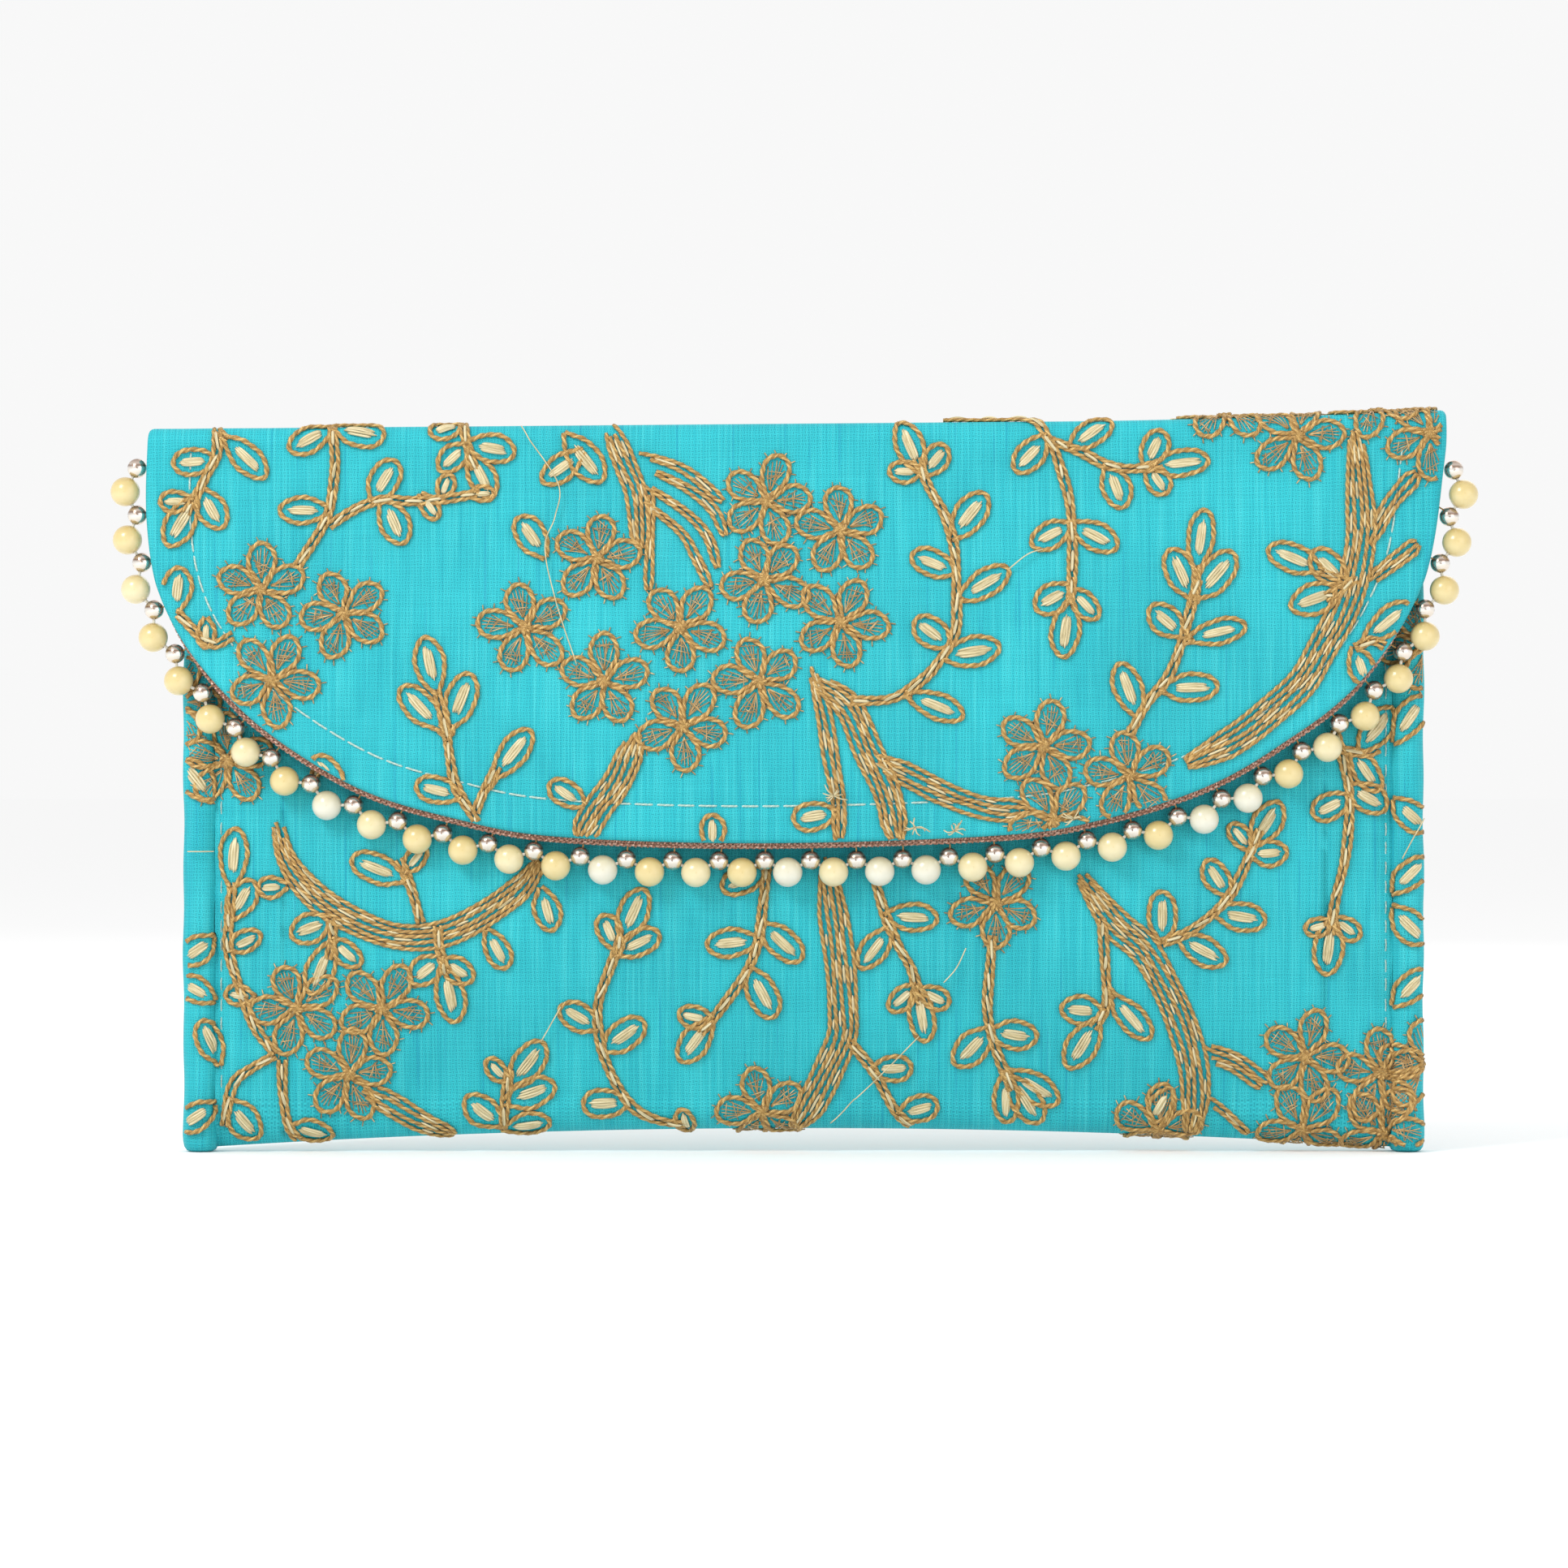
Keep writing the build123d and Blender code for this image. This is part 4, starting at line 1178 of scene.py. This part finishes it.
def flap_patch(inset, columns=176, rows=76):
    """Flat places over the flap: a patch between the fold's middle line and the edge's three
    sides, with its boundary this far inside the cut."""
    at_sides = np.clip((OUTLINE[:, 1] - 92) / 25, 0, 1)
    edge = moved_out(OUTLINE, EDGE_OUT * at_sides - inset)
    left_end, right_end = near(LEFT_CORNER, edge), near(RIGHT_CORNER, edge)
    fold_line = HEIGHT + FRONT_ROUND * (math.pi / 2 - 1) + FOLD_FRONT - FRONT_ROUND
    fold_line = fold_line - FOLD_MIDDLE + 0.8
    left = np.vstack([[edge[0][0], fold_line], edge[: left_end + 1]])
    lower = edge[left_end : right_end + 1]
    right = np.vstack([edge[right_end:], [edge[-1][0], fold_line]])[::-1]

    def sampled(line, count):
        line = even(line, 0.4)
        return line[np.linspace(0, len(line) - 1, count).astype(int)]

    left, right = sampled(left, rows), sampled(right, rows)
    lower = sampled(lower, columns)
    upper = left[0] + (right[0] - left[0]) * np.linspace(0, 1, columns)[:, None]
    u = np.linspace(0, 1, columns)[None, :, None]
    v = np.linspace(0, 1, rows)[:, None, None]
    ruled_v = (1 - v) * upper[None] + v * lower[None]
    ruled_u = (1 - u) * left[:, None] + u * right[:, None]
    corners = (1 - v) * ((1 - u) * left[0] + u * right[0])
    corners = corners + v * ((1 - u) * left[-1] + u * right[-1])
    return ruled_v + ruled_u - corners


def flap_cloth():
    """Flap with its top fold, its edge turned round the stiffener to the underside."""
    round_edge = FLAP_THICK / 2
    flat = flap_patch(EDGE_INSET)
    rows, columns = flat.shape[:2]
    top = flap_point(flat[..., 0], flat[..., 1])
    points = [top.reshape(-1, 3)]
    uv = [flat.reshape(-1, 2)]
    faces = grid_faces(rows, columns)
    index = np.arange(rows * columns).reshape(rows, columns)
    loop = np.concatenate([index[:, 0], index[-1, 1:-1], index[::-1, -1]])
    edge = flat.reshape(-1, 2)[loop]
    outward = -side_of(edge)
    before = loop
    rings = [
        (round_edge * math.sin(a), -round_edge * (1 - math.cos(a)))
        for a in np.linspace(0, math.pi, 8)[1:]
    ]
    rings += [(-2.0, -FLAP_THICK), (-FLAP_TURN, -FLAP_THICK)]
    for out, lift in rings:
        place = edge + outward * out
        start = sum(len(p) for p in points)
        ring = lifted(flap_point, place[:, 0], place[:, 1], lift + 0 * place[:, 0])[0]
        points.append(ring)
        uv.append(edge + outward * (abs(lift) * 1.6 + max(out, 0)))
        now = np.arange(start, start + len(loop))
        faces += np.stack([before[:-1], before[1:], now[1:], now[:-1]], 1).tolist()
        before = now
    faces = [tuple(face)[::-1] for face in faces]
    piece = mesh_piece("flap_cloth", np.vstack(points), faces, raw_silk, np.vstack(uv))
    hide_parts("flap_panel", "top_fold")
    with_flap(piece)


HEM_SQUARE = 0.77


def side_hem(sign, word):
    """Rolled hem: the panels' edges turned over each other, creased on a slant, with a round foot."""
    sides = 40
    around = np.arange(sides) * 2 * math.pi / sides
    foot, top = [0.05, 0.05, 0.3, 1.0, 2.2], [MOUTH + 1.8, MOUTH + 2.0, MOUTH + 2.0]
    heights = np.concatenate([foot, np.linspace(3.5, MOUTH + 1.2, 100), top])
    shrink = np.concatenate([[0.0, 0.62, 0.80, 0.92, 0.98], np.ones(100), [0.9, 0.6, 0.0]])
    rows = []
    for z, share in zip(heights, shrink):
        cos, sin = np.cos(around), np.sin(around)
        depth = np.where(sin > 0, hem_front(z), hem_back(z))
        crease = 1 + 0.03 * np.sin(z / 2.9 + 2.2 * around)
        crease = crease + 0.02 * np.sin(z / 7.3 - around + sign)
        x = sign * HEM_MIDDLE + HEM_HALF * np.sign(cos) * np.abs(cos) ** HEM_SQUARE * share * crease
        f = depth * np.sign(sin) * np.abs(sin) ** HEM_SQUARE * share * crease
        rows.append(np.stack([x, f, z + 0 * x], 1))
    points = np.array(rows)
    girth = np.tile(around * BOTTOM_ROUND, (len(heights), 1))
    uv = np.stack([girth, np.tile(heights[:, None], (1, sides))], -1).reshape(-1, 2)
    faces = grid_faces(len(heights), sides, True)
    name = f"side_hem_cloth_{word}"
    piece = mesh_piece(name, points.reshape(-1, 3), faces, raw_silk, uv)
    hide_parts(f"side_hem_{word}")
    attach(piece, "pouch")


def pouch_lining():
    """Satin bag inside the pouch: down the front, under, and up the back."""
    x = across_columns(PANEL_HALF - 1.5, 3.0)[None, :]
    inset = WALL - 0.1
    down = np.linspace(MOUTH - 11, BOTTOM_TURN, 50)[:, None]
    lift = -inset + 0.12 * ripple(x, down, 24, 21)
    front, _ = lifted(front_point, x + 0 * down, down + 0 * x, lift)
    angle = np.linspace(0, math.pi, 16)[1:-1, None]
    middle, half, depth = bottom_ellipse(x + 0 * angle)
    forward, up = middle + (half - inset) * np.cos(angle), (depth - inset) * np.sin(angle)
    under = np.stack([x + 0 * angle, forward, BOTTOM_TURN - up], -1)
    up = down[::-1] + np.linspace(0, 8, 50)[:, None]
    back, _ = lifted(back_point, x + 0 * up, up + 0 * x, -inset + 0.12 * ripple(x, up, 24, 22))
    points = np.vstack([front, under, back])
    run = np.vstack([down, BOTTOM_TURN - angle * 3, -up]) + 0 * x
    uv = np.stack([x + 0 * run, run], -1)
    piece = grid_piece("pouch_lining", points, uv, satin, flip=True)
    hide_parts("lining_front", "lining_bottom", "lining_back")
    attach(piece, "pouch")


def fold_lining():
    """Satin behind the top fold, from the back wall to the fold's middle."""
    x = np.linspace(-PANEL_HALF + 1, PANEL_HALF - 1, 90)[None, :]
    h = np.linspace(MOUTH - 8, BACK_END_RUN + 1.4, 24)[:, None]
    inside = 2.6
    points, _ = lifted(back_point, x + 0 * h, h + 0 * x, -inside + 0 * x * h)
    piece = grid_piece("fold_lining", points, np.stack([x + 0 * h, h + 0 * x], -1), satin)
    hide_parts("top_fold_lining")
    with_back(piece)


def flap_lining():
    """Satin under the flap, up to its turned edge."""
    flat = flap_patch(4.5, 110, 50)
    wave = 0.06 * ripple(flat[..., 0], flat[..., 1], 20, 31)
    points, _ = lifted(flap_point, flat[..., 0], flat[..., 1], -FLAP_THICK - 0.12 + wave)
    piece = grid_piece("flap_lining_cloth", points, flat, satin)
    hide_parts("flap_lining")
    with_flap(piece)


BOARD_TOP = HEIGHT - 10.6


def board(name, surface, flat, outer, inner, node, body):
    """Stiffener inside a cloth: two skins and their edge, ending below the cloth that bends."""
    rows, columns = flat.shape[:2]
    count = rows * columns
    x, h = flat[..., 0], flat[..., 1]
    skins = [lifted(surface, x, h, -depth + 0 * x)[0].reshape(-1, 3) for depth in (outer, inner)]
    faces = grid_faces(rows, columns) + grid_faces(rows, columns, start=count, flip=True)
    index = np.arange(count).reshape(rows, columns)
    loop = np.concatenate([index[0, :-1], index[:-1, -1], index[-1, :0:-1], index[:0:-1, 0]])
    for a, b in zip(loop.tolist(), np.roll(loop, -1).tolist()):
        faces.append((b, a, a + count, b + count))
    uv = np.vstack([flat.reshape(-1, 2)] * 2)
    piece = mesh_piece(name, np.vstack(skins), faces, stiffener, uv)
    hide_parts(node)
    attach(piece, body)


def boards():
    """Stiffeners of the back wall and the flap."""
    x = across_columns(PANEL_HALF - 1.5, 3.0)[None, :]
    h = np.linspace(BOTTOM_TURN, BOARD_TOP, 50)[:, None]
    flat = np.stack([x + 0 * h, h + 0 * x], -1)
    board("back_board", back_point, flat, 1.0, 2.2, "back_stiffener", "pouch")
    flat = flap_patch(7.0, 110, 50)
    low, high = flat[..., 1].min(), flat[..., 1].max()
    flat[..., 1] = low + (flat[..., 1] - low) * (BOARD_TOP - low) / (high - low)
    board("flap_board", flap_point, flat, 0.9, 1.6, "flap_stiffener", "flap")


# ------------------------------------------------------------------ sewing
def stitches(threads, surface, line, long, gap, radius=0.25):
    """A row of machine stitches: each dips into the cloth at both ends."""
    run = 0.0
    step = 0.35
    line = even(line, step)
    while run + long < step * (len(line) - 1):
        i, j = int(run / step), int((run + long) / step)
        part = line[i : j + 1]
        rise = -0.12 + 0.34 * arch(len(part)) ** 0.5
        path, normals = lifted(surface, part[:, 0], part[:, 1], rise)
        threads.add(path, normals, radius, 1.6, 2, 6, 0.9)
        run += long + gap


def sewing():
    """Topstitching of the flap, the hems and the mouth."""
    flap = Threads()
    stitches(flap, flap_point, moved_out(OUTLINE, -STITCH_INSET)[6:-6], 3.6, 0.7)
    with_flap(flap.piece("flap_topstitch", stitch_thread))
    pouch = Threads()
    seam = PANEL_HALF - 0.9
    for sign in (-1, 1):
        for surface, top in ((front_point, MOUTH - 4), (back_point, MOUTH - 8)):
            line = np.array([(sign * seam, 13.0), (sign * seam, top)])
            stitches(pouch, surface, line, 2.8, 1.2, 0.17)
    line = np.array([(-PANEL_HALF + 5, MOUTH - 9.5), (PANEL_HALF - 5, MOUTH - 9.5)])
    stitches(pouch, front_point, line, 3.3, 0.9)
    piece = pouch.piece("pouch_topstitch", stitch_thread)
    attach(piece, "pouch")


BRAID_CORDS = 3
BRAID_PITCH = 3.6


def gimp():
    """Copper braid glued under the flap's edge, with the loops that hold the bead string."""
    edge = moved_out(OUTLINE, 0.55)[14:-12]
    line = even(edge, 0.4)
    run = np.arange(len(line)) * 0.4
    braid = Threads()
    for k in range(BRAID_CORDS):
        phase = k * 2 * math.pi / BRAID_CORDS
        weave = 0.46 * np.sin(run * 2 * math.pi / BRAID_PITCH + phase)
        depth = -FLAP_THICK + 0.35 + 0.32 * np.sin(run * 4 * math.pi / BRAID_PITCH + 2 * phase)
        place = line + side_of(line) * weave[:, None]
        path, normals = lifted(flap_point, place[:, 0], place[:, 1], depth)
        braid.add(path, normals, 0.46, 2.0, 2, 8, 0.9, phase)
    piece = braid.piece("gimp_braid", copper_gimp)
    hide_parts("lace_tape")
    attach(piece, "flap")
    boxes = [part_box(f"pearl_{k:02d}") for k in range(1, len(PEARL_TONES) + 1)]
    centres = [(Vector(low) + Vector(high)) / 2 for low, high in boxes]
    loops = Threads()
    for a, b in zip(centres, centres[1:]):
        middle = (a + b) / 2 / MM
        place = np.array([middle.x - CENTRE_X, middle.z])
        k = near(place, OUTLINE)
        edge = OUTLINE[k : k + 1]
        base = lifted(flap_point, edge[:, 0], edge[:, 1], np.array([-FLAP_THICK]))[0][0]
        end = np.array([place[0], CENTRE_Y - middle.y, place[1]])
        bead = base + (end - base) * 0.62
        side = base + (bead - base) * 0.4 + [0.3, 0.3, 0]
        path = even(np.array([base + [0, 0.4, 0.3], side, bead]), 0.5)
        loops.add(path, np.tile([0.0, 1.0, 0.0], (len(path), 1)), 0.17, 0, 1, 5, 1.0)
    piece = loops.piece("bead_loops", gold_cord)
    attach(piece, "flap")


# ------------------------------------------------------------------ frame parts that show as they are
# The pearls' plating from left to right: ivory, cream or white
PEARL_TONES = "iiciiiciwciiciwiciwcwwcccciwwiciiiiii"


def dress_frame_parts():
    for number, tone in enumerate(PEARL_TONES, 1):
        paint(f"pearl_{number:02d}", PEARLS[tone])
    for name, material in (
        ("silver_beads", silver), ("bead_thread", string_thread), ("snap_socket", brass),
        ("snap_stud", brass), ("snap_socket_washer", steel), ("snap_stud_washer", steel),
        ("snap_magnet", magnet), ("front_stiffener", stiffener),
    ):
        paint(name, material)


def paint(name, material):
    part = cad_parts[name]
    if not part.material_slots:
        part.data.materials.append(material)
    for slot in part.material_slots:
        slot.material = material


# ------------------------------------------------------------------ floor, light and camera
FRAME_WIDTH = 0.3188
CAMERA_AWAY = 1.3
FRONT_FACE = 0.012
CAMERA_ACROSS = -4.0
CAMERA_UP = 75.3
SENSOR = 36.0
FLOOR = 30.0
LIT_POINT = Vector((0, 0, 0.07))


def studio():
    mesh = bpy.data.meshes.new("floor")
    corners = [(x * FLOOR, y * FLOOR, 0) for x, y in ((-1, -1), (1, -1), (1, 1), (-1, 1))]
    mesh.from_pydata(corners, [], [(0, 1, 2, 3)])
    floor = bpy.data.objects.new("floor", mesh)
    bpy.context.scene.collection.objects.link(floor)
    pale = (0.93, 0.93, 0.93)
    mesh.materials.append(look_of("pale_floor").finish(pale, Roughness=0.9, Specular_IOR_Level=0.0))

    world = bpy.data.worlds.new("studio")
    bpy.context.scene.world = world
    look = Look(world, "Background")
    look.feed(look.shader.inputs[0], (1, 1, 1))
    seen = look.node("LightPath", out="Is Camera Ray")
    look.feed(look.shader.inputs[1], look.math("MULTIPLY_ADD", seen, -0.06, 1.0))

    for name, place, size, power in (
        ("key", (-0.75, -0.9, 1.0), 0.5, 11.0),
        ("fill", (0.9, -1.1, 0.45), 0.9, 3.0),
        ("behind", (0.4, 1.1, 0.9), 1.0, 3.0),
    ):
        light = bpy.data.lights.new(name, "AREA")
        light.size = size
        light.energy = power
        lamp = bpy.data.objects.new(name, light)
        lamp.location = place
        lamp.rotation_euler = (LIT_POINT - Vector(place)).to_track_quat("-Z", "Y").to_euler()
        bpy.context.scene.collection.objects.link(lamp)

    camera_data = bpy.data.cameras.new("camera")
    camera_data.sensor_width = SENSOR
    camera_data.lens = SENSOR * (CAMERA_AWAY - FRONT_FACE) / FRAME_WIDTH
    camera_data.clip_end = 100
    camera = bpy.data.objects.new("camera", camera_data)
    camera.location = at(CAMERA_ACROSS, CAMERA_AWAY / MM, CAMERA_UP)
    camera.rotation_euler = (math.pi / 2, 0, 0)
    bpy.context.scene.collection.objects.link(camera)
    bpy.context.scene.camera = camera
    bpy.context.scene.view_settings.view_transform = "Standard"


def embroider():
    flap = Embroidery(Cloth(flap_point, -134, 131, 62, 154, in_flap), 1)
    flap.motifs(**FLAP)
    for place in KNOTS:
        flap.knot(place)
    for piece in flap.pieces("flap"):
        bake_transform(piece)
    front = Embroidery(Cloth(front_point, -128, 128, -7, MOUTH - 1, on_panel), 2)
    front.motifs(**FRONT)
    front.motifs(**HIDDEN)
    for piece in front.pieces("front"):
        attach(piece, "pouch")
    back = Embroidery(Cloth(back_point, -128, 128, -7, MOUTH + 3, on_panel), 3)
    back.motifs(**BACK)
    for piece in back.pieces("back"):
        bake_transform(piece)


studio()
dress_frame_parts()
pouch_cloth()
back_cloth()
flap_cloth()
side_hem(-1, "left")
side_hem(1, "right")
pouch_lining()
boards()
fold_lining()
flap_lining()
sewing()
gimp()
embroider()
